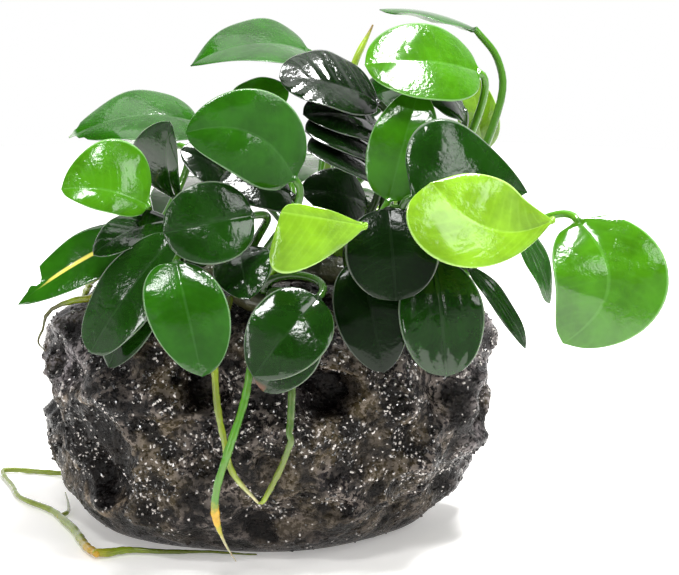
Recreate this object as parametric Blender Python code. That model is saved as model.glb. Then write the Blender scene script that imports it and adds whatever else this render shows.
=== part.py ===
"""A small-leaved anubias growing on a lump of lava rock.

The frame: +X to the right, -Y towards the viewer, +Z up, and the origin in the middle of the
stone's flat underside. Sizes below are in millimetres, and every point is turned into metres
where a mesh is made.
"""

import math
from dataclasses import dataclass

import bpy
import bmesh
from mathutils import Vector, noise
from mathutils.bvhtree import BVHTree

MM = 0.001

# The stone
STONE_WIDTH = 101.0
STONE_DEPTH = 78.0
STONE_HEIGHT = 57.0
STONE_COLUMNS = 160
STONE_STEPS = 4
STONE_TRIANGLES = 2000
LUMP_SIZE = 21.0
LUMP_HEIGHT = 6.5
KNOB_SIZE = 9.0
KNOB_HEIGHT = 4.0
PIT_SPACING = 11.0
PIT_RADIUS = 0.40
PIT_DEPTH = 2.4
LEAN_LEFT = 3.2

# The plant
GAP = 0.5
RHIZOME_RADIUS = 3.3
STALK_RADIUS = 0.95
STALK_JOINT_RADIUS = 0.8
STALK_LEAN = 0.75
BLADE_THICKNESS = 0.7
BOW_TURN = 0.5
ROOT_SIDES = 5
RHIZOME_SIDES = 8

# Leaf colours, from the newest leaves to the oldest
YOUNG = (0.36, 0.68, 0.03)
BRIGHT = (0.16, 0.45, 0.02)
GREEN = (0.07, 0.25, 0.02)
DARK = (0.015, 0.07, 0.012)
BARK = (0.11, 0.16, 0.04)
ROOT_GREEN = (0.20, 0.34, 0.04)
ROCK = (0.045, 0.036, 0.035)


def clear_scene():
    for obj in list(bpy.data.objects):
        bpy.data.objects.remove(obj)


def finish(color, roughness, name):
    material = bpy.data.materials.new(name)
    material.use_nodes = True
    shader = material.node_tree.nodes["Principled BSDF"]
    shader.inputs["Base Color"].default_value = (*color, 1.0)
    shader.inputs["Roughness"].default_value = roughness
    shader.inputs["Metallic"].default_value = 0.0
    return material


def add_solid(name, points, faces, material):
    """One named object from points in millimetres, with its faces turned outwards."""
    mesh = bpy.data.meshes.new(name)
    mesh.from_pydata([Vector(p) * MM for p in points], [], faces)
    body = bmesh.new()
    body.from_mesh(mesh)
    bmesh.ops.recalc_face_normals(body, faces=body.faces)
    body.to_mesh(mesh)
    body.free()
    mesh.shade_smooth()
    mesh.set_sharp_from_angle(angle=math.radians(50))
    mesh.materials.append(material)
    obj = bpy.data.objects.new(name, mesh)
    bpy.context.scene.collection.objects.link(obj)
    return obj


def loft(rings, tip=None):
    """Points and faces of a closed skin over rings of equal length, with flat ends or a pointed one."""
    count = len(rings[0])
    points = [point for ring in rings for point in ring]
    faces = []
    for row in range(len(rings) - 1):
        for i in range(count):
            j = (i + 1) % count
            low, high = row * count, (row + 1) * count
            faces.append((low + i, low + j, high + j, high + i))
    last = (len(rings) - 1) * count
    faces.append(tuple(reversed(range(count))))
    if tip is None:
        faces.append(tuple(range(last, last + count)))
        return points, faces
    points.append(tip)
    for i in range(count):
        faces.append((last + i, last + (i + 1) % count, last + count))
    return points, faces


def smooth_path(points, steps):
    """Points along a smooth curve through the given ones, with `steps` spans between each two."""
    ends = [points[0] * 2 - points[1], *points, points[-1] * 2 - points[-2]]
    path = []
    for before, start, end, after in zip(ends, ends[1:], ends[2:], ends[3:]):
        for k in range(steps):
            t = k / steps
            path.append(
                0.5
                * (
                    2 * start
                    + (end - before) * t
                    + (2 * before - 5 * start + 4 * end - after) * t**2
                    + (3 * start - before - 3 * end + after) * t**3
                )
            )
    path.append(points[-1].copy())
    return path


def bezier(start, start_handle, end_handle, end, t):
    u = 1.0 - t
    return (
        start * u**3
        + start_handle * (3 * u * u * t)
        + end_handle * (3 * u * t * t)
        + end * t**3
    )


def tangents(path):
    spans = zip([path[0], *path[:-1]], [*path[1:], path[-1]])
    return [(after - before).normalized() for before, after in spans]


def carried_normals(path, along, first):
    """A normal at each point of the path, carried along it without twisting."""
    normal = (first - along[0] * first.dot(along[0])).normalized()
    normals = [normal]
    for before, after in zip(along, along[1:]):
        normal = before.rotation_difference(after) @ normal
        normal = (normal - after * normal.dot(after)).normalized()
        normals.append(normal)
    return normals


def tube_rings(path, radii, sides):
    along = tangents(path)
    reference = Vector((0.3, 0.2, 1.0))
    if abs(along[0].dot(reference.normalized())) > 0.9:
        reference = Vector((1.0, 0.2, 0.0))
    normals = carried_normals(path, along, reference)
    rings = []
    for centre, forward, normal, radius in zip(path, along, normals, radii):
        across = forward.cross(normal)
        ring = []
        for k in range(sides):
            angle = 2 * math.pi * k / sides
            ring.append(centre + (across * math.cos(angle) + normal * math.sin(angle)) * radius)
        rings.append(ring)
    return rings


# The lump of lava rock

# Up the side of the stone: share of the full outline sideways and front to back, and height. The
# first row is the rim of the flat underside.
STONE_PROFILE = (
    (0.62, 0.48, 0.0), (0.70, 0.57, 1.6), (0.78, 0.69, 4.6), (0.85, 0.80, 8.6),
    (0.90, 0.88, 13.2), (0.94, 0.94, 18.2), (0.98, 0.98, 23.4), (1.00, 1.00, 28.6), (1.00, 1.00, 33.6),
    (0.99, 0.98, 38.4), (0.95, 0.94, 42.8), (0.90, 0.88, 46.8), (0.81, 0.80, 50.2), (0.68, 0.69, 53.0),
    (0.54, 0.54, 55.2), (0.34, 0.34, 56.4), (0.15, 0.15, 57.0),
)

# Hollows pressed into the side: middle of the mouth, radii across, up and inwards, and depth.
STONE_HOLLOWS = (
    ((-40.0, -26.0, 22.0), (13.0, 13.0, 14.0), 9.0),
    ((12.5, -38.0, 41.0), (9.0, 14.0, 5.5), 8.0),
    ((-13.0, -38.0, 42.0), (6.0, 14.0, 5.5), 6.0),
    ((27.0, -34.0, 28.0), (8.0, 14.0, 7.0), 3.0),
    ((-20.0, 36.0, 30.0), (14.0, 14.0, 10.0), 7.0),
    ((24.0, 34.0, 22.0), (11.0, 14.0, 10.0), 6.0),
    ((50.0, 6.0, 22.0), (12.0, 12.0, 9.0), 5.0),
    ((-50.0, 14.0, 32.0), (12.0, 10.0, 9.0), 5.0),
    ((-54.0, 3.0, 28.0), (12.0, 16.0, 10.0), 6.0),
    ((48.0, -12.0, 12.0), (14.0, 24.0, 12.0), 3.0),
)

# Lumps and ledges that stand out of the side, in the same terms.
STONE_LUMPS = (
    ((36.0, -27.0, 17.0), (12.0, 14.0, 10.0), 3.5),
    ((-27.0, -36.0, 38.0), (14.0, 14.0, 5.5), 3.0),
    ((10.0, -39.0, 33.0), (18.0, 14.0, 5.0), 3.0),
    ((-45.0, -8.0, 44.0), (12.0, 14.0, 6.0), 1.0),
    ((46.0, -6.0, 35.0), (12.0, 14.0, 7.0), 1.2),
    ((0.0, 38.0, 36.0), (16.0, 14.0, 6.0), 3.5),
    ((-36.0, 26.0, 15.0), (14.0, 14.0, 7.0), 3.5),
)


def outline_share(angle):
    """How far the stone's outline lies from an ellipse, looking down on it."""
    share = 1.0 + 0.035 * math.cos(2 * angle + 0.6)
    return share + 0.03 * math.sin(3 * angle) + 0.02 * math.cos(5 * angle)


def bump_at(point, bumps):
    total = 0.0
    for middle, radii, height in bumps:
        away = sum(((p - m) / r) ** 2 for p, m, r in zip(point, middle, radii))
        total += height * max(0.0, 1.0 - away) ** 0.7
    return total


def pit_at(point):
    """Depth of the round gas pits, which sit round scattered cell centres."""
    distances, _ = noise.voronoi(point / PIT_SPACING)
    return PIT_DEPTH * max(0.0, 1.0 - (distances[0] / PIT_RADIUS) ** 2)


def stone_point(share_x, share_y, height, angle):
    radius_x = STONE_WIDTH / 2 * outline_share(angle)
    radius_y = STONE_DEPTH / 2 * outline_share(angle)
    lean = LEAN_LEFT * max(0.0, 1.0 - 2 * height / STONE_HEIGHT)
    x = share_x * radius_x * math.cos(angle) - lean
    point = Vector((x, share_y * radius_y * math.sin(angle), height))
    if height <= 0.0:
        return point
    outward = Vector((math.cos(angle) / radius_x, math.sin(angle) / radius_y, 0.0)).normalized()
    steepness = min(1.0, max(0.0, (share_y - 0.5) / 0.4))
    upward = Vector((0.0, 0.0, 1.0 if height > STONE_HEIGHT / 2 else -0.4))
    normal = (outward * steepness + upward * (1.0 - steepness)).normalized()
    relief = LUMP_HEIGHT * noise.noise(point / LUMP_SIZE) + KNOB_HEIGHT * noise.noise(point / KNOB_SIZE)
    relief += bump_at(point, STONE_LUMPS) - bump_at(point, STONE_HOLLOWS) - pit_at(point)
    near_floor = min(1.0, height / 12.0)
    near_top = 0.35 + 0.65 * steepness
    point = point + normal * relief * near_floor * near_top
    point.z = max(point.z, 0.35)
    return point


def in_fewer_triangles(obj, count):
    """The same skin in about this many triangles, with the flat underside kept flat."""
    fewer = obj.modifiers.new("fewer triangles", "DECIMATE")
    fewer.ratio = count / sum(len(face.vertices) - 2 for face in obj.data.polygons)
    mesh = bpy.data.meshes.new_from_object(obj.evaluated_get(bpy.context.evaluated_depsgraph_get()))
    obj.modifiers.remove(fewer)
    for vertex in mesh.vertices:
        if vertex.co.z < 0.17 * MM:
            vertex.co.z = 0.0
    obj.data = mesh
    return obj


def make_stone():
    rings = []
    for row in smooth_path([Vector(row) for row in STONE_PROFILE], STONE_STEPS):
        ring = []
        for k in range(STONE_COLUMNS):
            angle = 2 * math.pi * k / STONE_COLUMNS
            ring.append(stone_point(row.x, row.y, max(row.z, 0.0), angle))
        rings.append(ring)
    points, faces = loft(rings)
    stone = add_solid("stone", points, faces, finish(ROCK, 0.55, "lava rock"))
    return in_fewer_triangles(stone, STONE_TRIANGLES)


def surface_of(obj):
    mesh = obj.data
    corners = [vertex.co / MM for vertex in mesh.vertices]
    return BVHTree.FromPolygons(corners, [tuple(face.vertices) for face in mesh.polygons])


def height_on(surface, x, y):
    hit, _, _, _ = surface.ray_cast(Vector((x, y, 200.0)), Vector((0.0, 0.0, -1.0)))
    return hit.z if hit else 0.0


# The rhizome, which creeps over the top of the stone

# Where each stretch of the rhizome runs over the stone, seen from above.
RHIZOME_ROUTES = {
    "rhizome_main": ((-31.0, -3.0), (-20.0, -9.0), (-8.0, -9.0), (6.0, -6.0), (20.0, -8.0), (32.0, -2.0)),
    "rhizome_front": ((-3.0, -14.8), (-4.0, -21.0), (2.0, -28.0)),
    "rhizome_back": ((9.0, 0.6), (7.0, 9.0), (12.0, 19.0)),
    "rhizome_right": ((20.0, -14.8), (25.0, -18.5), (33.0, -19.5), (40.0, -15.0)),
}
RHIZOME_LIFT = 0.7
RING_SWELL = 0.35


def rhizome_path(surface, route):
    points = []
    for x, y in route:
        around = [height_on(surface, x + dx, y + dy) for dx in (-4, 0, 4) for dy in (-4, 0, 4)]
        points.append(Vector((x, y, max(around) + RHIZOME_RADIUS + RHIZOME_LIFT)))
    return smooth_path(points, 3)


def make_rhizome(name, path):
    """A creeping stem with a ring at every other span, drawn in at its two ends."""
    radii = []
    for k in range(len(path)):
        ends = min(1.0, 0.62 + 0.19 * min(k, len(path) - 1 - k))
        radii.append((RHIZOME_RADIUS - RING_SWELL * (k % 2)) * ends)
    points, faces = loft(tube_rings(path, radii, RHIZOME_SIDES))
    return add_solid(name, points, faces, finish(BARK, 0.5, name))


# The leaves


@dataclass
class Leaf:
    """A leaf: its blade from base to tip, the way its upper face looks, and where its stalk starts.

    bow swings the midrib sideways and arch lifts it towards the face; fold and curl raise or drop
    the margins; skew makes one half wider and shear slides it along; point sharpens the tip and
    neck the base. The stalk starts on a piece of the rhizome, at a share of its length, and rise
    and reach say how far it keeps its direction at its two ends. A stalk with via points goes
    through them instead.
    """

    base: tuple
    tip: tuple
    face: tuple
    width: float
    foot: tuple
    bow: float = 0.0
    arch: float = 2.0
    fold: float = 0.12
    curl: float = -0.10
    skew: float = 0.0
    point: float = 0.62
    neck: float = 0.46
    shear: float = 0.0
    rise: float = 10.0
    reach: float = 8.0
    via: tuple = ()
    color: tuple = DARK


LEAVES = {
    "leaf_top_left": Leaf(
        base=(9.5, 10, 106.5), tip=(-16.5, 4, 104.5), face=(0, -0.4, 0.92), width=18.5,
        foot=("back", 0.18), arch=4.0, fold=0.2, point=0.9, color=GREEN),
    "leaf_top_dark": Leaf(
        base=(24.5, -14, 99.5), tip=(3.5, -20, 106), face=(-0.15, -0.55, 0.82), width=18,
        foot=("main", 0.89), skew=-0.1, rise=16, point=0.5),
    "leaf_broad_left": Leaf(
        base=(7, -34, 87), tip=(-15.5, -38, 97.5), face=(-0.1, -0.88, 0.47), width=19,
        foot=("front", 0.62), bow=-5.0, skew=0.0, color=GREEN),
    "leaf_behind_broad": Leaf(
        base=(-8, 8, 90), tip=(5, 6, 99.5), face=(0, -0.75, 0.66), width=13, foot=("main", 0.48),
        color=BRIGHT),
    "leaf_high_left": Leaf(
        base=(-14, -5, 93.3), tip=(-42, -11, 91.3), face=(-0.1, -0.5, 0.86), width=18,
        foot=("main", 0.36), arch=4.0, point=0.85, color=GREEN),
    "leaf_bright_left": Leaf(
        base=(-24, -28, 80), tip=(-42, -30, 84), face=(-0.1, -0.85, 0.52), width=16.5,
        foot=("main", 0.15), bow=-1.0, skew=-0.42, via=((-25, -15, 78), (-25, -22, 80.5)), color=BRIGHT),
    "leaf_folded_left": Leaf(
        base=(-19, -15, 79), tip=(-19.5, -22, 97), face=(-0.5, -0.85, 0.1), width=12.5,
        foot=("main", 0.19), skew=0.5),
    "leaf_round_left": Leaf(
        base=(-1.5, -37, 80), tip=(-20, -41, 77), face=(-0.1, -0.93, 0.35), width=17.5,
        foot=("front", 0.34), arch=1.5, point=0.5),
    "leaf_bitten": Leaf(
        base=(-27, -9, 70), tip=(-53, -20, 56.5), face=(-0.3, -0.8, 0.5), width=12.5,
        foot=("main", 0.03), bow=-0.4, point=0.8, reach=4, color=GREEN),
    "leaf_grey_left": Leaf(
        base=(-20, -17, 74.5), tip=(-36, -26, 69), face=(-0.3, -0.6, 0.74), width=11.5,
        foot=("main", 0.31), reach=5, rise=8),
    "leaf_long_left": Leaf(
        base=(-18.5, -28, 73.5), tip=(-36.3, -34, 49.6), face=(-0.45, -0.85, 0.3), width=15,
        foot=("main", 0.27), point=0.48),
    "leaf_under_long": Leaf(
        base=(-21, -24, 66), tip=(-33, -29, 45), face=(-0.45, -0.85, 0.3), width=13,
        foot=("main", 0.23), rise=5),
    "leaf_front_left": Leaf(
        base=(-17.5, -42, 71.5), tip=(-12, -50, 49), face=(0.05, -0.92, 0.38), width=17,
        foot=("front", 0.5), bow=0, via=((-8.5, -26, 72.5), (-13.5, -35, 76)), shear=0.22, color=GREEN),
    "leaf_front_centre": Leaf(
        base=(12, -43, 64), tip=(-1.5, -50, 49), face=(0, -0.9, 0.43), width=17, foot=("front", 0.87),
        arch=2.5, rise=6),
    "leaf_brown_spot": Leaf(
        base=(9, -39, 58), tip=(0.5, -44, 44), face=(0, -0.9, 0.43), width=14.5, foot=("front", 1.0),
        rise=3, reach=5),
    "leaf_tier_upper": Leaf(
        base=(25, -12, 93.5), tip=(8.5, -22, 98.5), face=(-0.1, -0.6, 0.8), width=15,
        foot=("main", 0.855)),
    "leaf_tier_middle": Leaf(
        base=(24.5, -14, 89), tip=(9, -25, 95.5), face=(-0.1, -0.6, 0.8), width=15,
        foot=("main", 0.82)),
    "leaf_tier_lower": Leaf(
        base=(24, -16, 84.5), tip=(9.5, -28, 92), face=(-0.1, -0.6, 0.8), width=15,
        foot=("main", 0.78)),
    "leaf_upright_right": Leaf(
        base=(26.5, -30, 81.5), tip=(33, -22, 104), face=(-0.05, -0.95, 0.3), width=14.5,
        foot=("right", 0.13), via=((21.8, -23, 70), (23.8, -29, 76)), color=GREEN),
    "leaf_top_right": Leaf(
        base=(46, -14, 106), tip=(21.5, -22, 109), face=(0, -0.7, 0.71), width=20.5,
        foot=("main", 0.96), arch=2.5, point=0.52, rise=16, color=BRIGHT),
    "leaf_arching": Leaf(
        base=(46, 4, 112.5), tip=(25, 7, 116.5), face=(0, 0.2, 0.97), width=15, foot=("main", 1.0),
        arch=1.5, curl=-0.3, via=((45, 1, 80), (51.7, 3, 97), (50.9, 4, 106)), color=BRIGHT),
    "leaf_young_back": Leaf(
        base=(48, 9, 84.5), tip=(45, 7, 102), face=(0.1, -0.95, 0.3), width=9.5, foot=("main", 0.74),
        rise=14, color=YOUNG),
    "leaf_grey_right": Leaf(
        base=(31, -38, 84), tip=(55.5, -29, 83), face=(0.1, -0.88, 0.47), width=26,
        foot=("right", 0.45), bow=2.2, point=1.1, reach=5, skew=0.1),
    "leaf_young_right": Leaf(
        base=(60.4, -38, 79.3), tip=(34.9, -44, 88.5), face=(0, -0.88, 0.47), width=21,
        foot=("right", 0.74), bow=6.5, via=((41, -24.5, 72), (51.5, -33.5, 77)), point=0.42, neck=1.05,
        shear=0.15, color=YOUNG),
    "leaf_far_right": Leaf(
        base=(66, -30, 77.5), tip=(63, -37, 52.5), face=(0.15, -0.8, 0.58), width=24.5,
        foot=("right", 0.93), bow=7.2, arch=5.0, skew=0.05, color=BRIGHT),
    "leaf_young_centre": Leaf(
        base=(21.6, -47, 80), tip=(4.4, -49, 83.4), face=(-0.1, -0.95, 0.3), width=14.5,
        foot=("front", 0.74), via=((8, -33, 73), (17, -43, 79)), skew=0.7, point=0.3, neck=0.9,
        shear=0.2, color=YOUNG),
    "leaf_round_centre": Leaf(
        base=(26.3, -37.5, 81.7), tip=(27.9, -44, 63.5), face=(0, -0.75, 0.66), width=19.5,
        foot=("right", 0.3), arch=1.5, point=0.5, via=((27.5, -24.5, 73), (29.5, -33.5, 80))),
    "leaf_pointed_centre": Leaf(
        base=(20.5, -35, 70), tip=(25.5, -42, 47.5), face=(0, -0.92, 0.38), width=15.5,
        foot=("right", 0.0), reach=5),
    "leaf_streaked_right": Leaf(
        base=(36, -36, 70), tip=(38.5, -43, 47), face=(0.1, -0.9, 0.4), width=18, foot=("right", 0.6),
        point=0.5),
    "leaf_narrow_right": Leaf(
        base=(43.9, -26, 66.1), tip=(56, -27, 48.6), face=(0.6, -0.75, 0.3), width=5,
        foot=("right", 0.84), rise=4, reach=3),
    "leaf_pale_right": Leaf(
        base=(53, -12, 74), tip=(62, -13, 55), face=(0.75, -0.6, 0.25), width=8, foot=("right", 1.0),
        color=GREEN),
    "leaf_shaded_centre": Leaf(
        base=(-4.5, -29, 71), tip=(-2.5, -38.5, 62.5), face=(-0.2, -0.8, 0.55), width=13,
        foot=("front", 0.66), rise=4, reach=3),
    "leaf_shaded_left": Leaf(
        base=(-5, -18, 82), tip=(-17.4, -23, 90.8), face=(-0.2, -0.6, 0.77), width=13.5,
        foot=("main", 0.42)),
    "leaf_under_broad": Leaf(
        base=(6, -22, 81), tip=(-9, -29, 85), face=(-0.1, -0.7, 0.7), width=13, foot=("main", 0.53)),
    "leaf_behind_top": Leaf(
        base=(20, 2, 95), tip=(31, 0, 100), face=(0, -0.6, 0.8), width=11, foot=("back", 0.0)),
    "leaf_under_top": Leaf(
        base=(43, -10, 97), tip=(33, -15, 102), face=(0, -0.6, 0.8), width=12.5, foot=("main", 0.925)),
    "leaf_inner_right": Leaf(
        base=(22.1, -1, 74.8), tip=(7.7, -8, 79.2), face=(0, -0.8, 0.6), width=12.5, foot=("main", 0.7)),
    "leaf_back_left": Leaf(
        base=(-20, 18, 84), tip=(-38, 26, 78), face=(-0.4, 0.5, 0.76), width=18, foot=("main", 0.07),
        color=GREEN),
    "leaf_back_low_left": Leaf(
        base=(-12, 28, 74), tip=(-25.3, 42, 60.4), face=(-0.3, 0.8, 0.5), width=19, foot=("back", 0.6)),
    "leaf_back_middle": Leaf(
        base=(4, 30, 80), tip=(2, 46, 68), face=(0, 0.75, 0.66), width=19, foot=("back", 0.75),
        color=GREEN),
    "leaf_back_high": Leaf(
        base=(18, 22, 96), tip=(16, 42, 92), face=(0, 0.4, 0.92), width=19, foot=("back", 0.46),
        color=GREEN),
    "leaf_back_right": Leaf(
        base=(32, 20, 84), tip=(46, 32, 76), face=(0.3, 0.6, 0.74), width=18, foot=("back", 0.3),
        color=GREEN),
    "leaf_back_low_right": Leaf(
        base=(24, 30, 70), tip=(30, 42, 54), face=(0.2, 0.85, 0.48), width=17, foot=("back", 0.96)),
}

BLADE_STATIONS = (0.0, 0.06, 0.20, 0.40, 0.62, 0.82, 0.95)
STALK_SPANS = 3
# Across the blade: the share of the half width, and which side of the middle layer.
BLADE_SECTION = ((-1, 0), (-0.52, 1), (0, 1), (0.52, 1), (1, 0), (0.52, -1), (0, -1), (-0.52, -1))


def half_width(leaf, t):
    """Half the blade's width at t, from a round base to a pointed tip."""
    peak = leaf.neck / (leaf.neck + leaf.point)
    shape = (t / peak) ** leaf.neck * ((1 - t) / (1 - peak)) ** leaf.point
    return leaf.width / 2 * shape


class Blade:
    """The middle layer of a leaf's blade as a function of t along it and s across it."""

    def __init__(self, leaf):
        self.leaf = leaf
        self.base = Vector(leaf.base)
        self.tip = Vector(leaf.tip)
        self.chord = self.tip - self.base
        along = self.chord.normalized()
        face = Vector(leaf.face).normalized()
        self.face = (face - along * face.dot(along)).normalized()
        self.side = along.cross(self.face)

    def middle(self, t):
        swell = 4 * t * (1 - t)
        return self.base + self.chord * t + (self.face * self.leaf.arch - self.side * self.leaf.bow) * swell

    def axes(self, t):
        """Along the blade, square out of its upper face, and across it."""
        slope = 4 - 8 * t
        sideways = self.side * self.leaf.bow * BOW_TURN
        along = self.chord + (self.face * self.leaf.arch - sideways) * slope
        along.normalize()
        face = (self.face - along * self.face.dot(along)).normalized()
        return along, face, along.cross(face)

    def point(self, t, s, lift=0.0):
        along, face, side = self.axes(t)
        reach = max(half_width(self.leaf, t), STALK_JOINT_RADIUS)
        reach *= 1 + self.leaf.skew * (1 if s < 0 else -1)
        rise = reach * (self.leaf.fold * abs(s) + self.leaf.curl * s * s)
        return self.middle(t) + (side - along * self.leaf.shear) * reach * s + face * (rise + lift)


def along_path(path, share):
    """The point at this share of the path, and the path's direction there."""
    place = share * (len(path) - 1)
    low = min(int(place), len(path) - 2)
    return path[low].lerp(path[low + 1], place - low), (path[low + 1] - path[low]).normalized()


def stalk_path(leaf, blade, rhizome):
    piece, share = leaf.foot
    centre, axis = along_path(rhizome["rhizome_" + piece], share)
    towards = Vector(leaf.via[0] if leaf.via else leaf.base) - centre
    towards.z = 0.0
    leaving = Vector((0.0, 0.0, 1.0)) + towards.normalized() * STALK_LEAN
    leaving = (leaving - axis * leaving.dot(axis)).normalized()
    start = centre + leaving * (RHIZOME_RADIUS + GAP)
    if leaf.via:
        return smooth_path([start, *(Vector(point) for point in leaf.via), blade.base], 2)
    arriving, _, _ = blade.axes(0.0)
    handles = start + leaving * leaf.rise, blade.base - arriving * leaf.reach
    return [bezier(start, *handles, blade.base, k / STALK_SPANS) for k in range(STALK_SPANS + 1)]


def stalk_rings(path, blade):
    """Eight-sided rings from the foot of the stalk to the blade, turned to the blade's face."""
    along = tangents(path)
    along[-1], face, _ = blade.axes(0.0)
    backwards = carried_normals(path[::-1], along[::-1], face)
    rings = []
    for k, (centre, forward, normal) in enumerate(zip(path, along, backwards[::-1])):
        share = k / (len(path) - 1)
        radius = STALK_RADIUS + (STALK_JOINT_RADIUS - STALK_RADIUS) * share
        side = forward.cross(normal)
        ring = []
        for step in range(8):
            angle = math.pi - math.pi / 4 * step
            ring.append(centre + (side * math.cos(angle) + normal * math.sin(angle)) * radius)
        rings.append(ring)
    return rings


def make_leaf(name, leaf, rhizome):
    """One skin from the foot of the stalk to the pointed tip of the blade."""
    blade = Blade(leaf)
    rings = stalk_rings(stalk_path(leaf, blade, rhizome), blade)[:-1]
    for t in BLADE_STATIONS:
        thin = BLADE_THICKNESS / 2 if t > 0 else STALK_JOINT_RADIUS
        rings.append([blade.point(t, s, layer * thin) for s, layer in BLADE_SECTION])
    points, faces = loft(rings, blade.middle(1.0))
    return add_solid(name, points, faces, finish(leaf.color, 0.25, name))


# The roots and the young shoot

# The points that each root follows, and its thickness there. The front ones hang free of the stone.
HANGING_ROOTS = {
    "root_front_left": ((-7, -29, 60, 1.7), (-9.6, -38, 52, 1.6), (-9.4, -42, 42, 1.6),
                        (-7.8, -43.5, 33, 1.6), (-6, -43.5, 26, 1.5), (-0.9, -43, 19.5, 1.3)),
    "root_front_centre": ((-1, -33, 58, 2.2), (-2, -40, 51, 2.2), (-3.5, -43, 42, 2.2),
                          (-6.5, -46.3, 33, 2.1), (-9.3, -46.5, 24, 2.0), (-9.8, -44, 17, 1.8),
                          (-8.3, -39, 9.5, 1.5), (-6, -33.5, 3, 0.9)),
    "root_front_right": ((5, -32, 60, 1.7), (6.3, -41, 49, 1.7), (6, -44.3, 37, 1.6), (5, -44, 30, 1.5),
                         (0.7, -43.5, 20.7, 1.3)),
}
CLINGING_ROOTS = {
    "root_left_shoulder": ((-33.5, -4, 58, 1.9), (-38, -5, 54.5, 1.9), (-43.5, -4, 53, 1.7),
                           (-48.5, -3, 48, 1.5), (-50.5, -5, 44.5, 1.2), (-49, -6, 42.5, 0.9)),
    "root_back_left": ((-33, 2, 59, 1.9), (-40.6, 14.8, 52.8, 1.9), (-44, 24, 40, 1.8), (-46, 28, 24, 1.8),
                       (-44, 30, 8, 1.8)),
    "root_back_right": ((16, 22, 58, 1.8), (20, 34, 48, 1.7), (16, 40, 36, 1.6), (20, 38, 22, 1.4)),
    "root_right_shoulder": ((33, 5, 58, 1.8), (40.5, 13, 54.5, 1.8), (46, 19.5, 48.5, 1.7),
                            (47, 23, 38, 1.5), (44, 25, 26, 1.2)),
}
GROUND_ROOTS = {
    "root_ground_left": ((-43, 31, 4, 1.8), (-50, 34.5, 1, 1.7), (-62, 37, 1, 1.7), (-64.5, 35, 1, 1.7),
                         (-61, 25, 1, 1.6), (-58, 16, 1, 1.6), (-50, 7, 1, 1.7), (-46, -1, 1, 2.0),
                         (-43, -8, 1, 2.2), (-39.5, -19, 1.3, 2.2), (-37, -23.5, 1.4, 2.6)),
    "root_ground_side": ((-46, 5.8, 1, 1.2), (-46.5, 12, 1, 1.1), (-48, 20, 1, 0.9)),
    "root_ground_front": ((-34.5, -23, 1.3, 2.0), (-30, -21, 1.2, 1.8), (-22, -21.5, 1, 1.5),
                          (-12, -21.5, 1, 1.2), (-2, -21.5, 1, 0.9)),
}
YOUNG_SHOOT = ((10.5, -4, 66, 1.6), (13, -2, 80, 1.6), (18.5, -2, 103, 1.6), (23.5, -2, 114.5, 1.5))
ROOT_CLEARANCE = 0.6


def lie_outside(surface, point, radius):
    """The point, moved out so that a root of this radius there clears the stone and the ground."""
    for _ in range(4):
        near, normal, _, _ = surface.find_nearest(point)
        if (point - near).dot(normal) < radius + ROOT_CLEARANCE:
            point = near + normal * (radius + ROOT_CLEARANCE)
        point.z = max(point.z, radius)
    return point


def make_root(name, route, surface=None, color=ROOT_GREEN, steps=2):
    centres = smooth_path([Vector(stop[:3]) for stop in route], steps)
    radii = []
    for (*_, start), (*_, end) in zip(route, route[1:]):
        radii += [(start + (end - start) * k / steps) / 2 for k in range(steps)]
    radii.append(route[-1][3] / 2)
    if surface:
        centres = [lie_outside(surface, centre, radius) for centre, radius in zip(centres, radii)]
    points, faces = loft(tube_rings(centres, radii, ROOT_SIDES))
    return add_solid(name, points, faces, finish(color, 0.35, name))


def main():
    clear_scene()
    stone = make_stone()
    surface = surface_of(stone)
    rhizome = {name: rhizome_path(surface, route) for name, route in RHIZOME_ROUTES.items()}
    for name, path in rhizome.items():
        make_rhizome(name, path)
    for name, leaf in LEAVES.items():
        make_leaf(name, leaf, rhizome)
    for name, route in HANGING_ROOTS.items():
        make_root(name, route, surface)
    for name, route in CLINGING_ROOTS.items():
        make_root(name, route, surface, steps=3)
    for name, route in GROUND_ROOTS.items():
        make_root(name, route, surface)
    make_root("young_shoot", YOUNG_SHOOT, color=YOUNG)


main()
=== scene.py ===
# %% [markdown]
# # A small-leaved anubias on a lump of lava rock
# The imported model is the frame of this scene: one node for the stone, one for every leaf with its
# stalk, and one for every stretch of rhizome and every root. Each cell below grows the finished
# piece for some of those nodes in the same place. Here the frame is loaded and its box is kept, so
# that the finished plant can be held against it at the end.

import math
import random
from dataclasses import dataclass

import bpy
import bmesh
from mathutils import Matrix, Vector, noise
from mathutils.bvhtree import BVHTree


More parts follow.
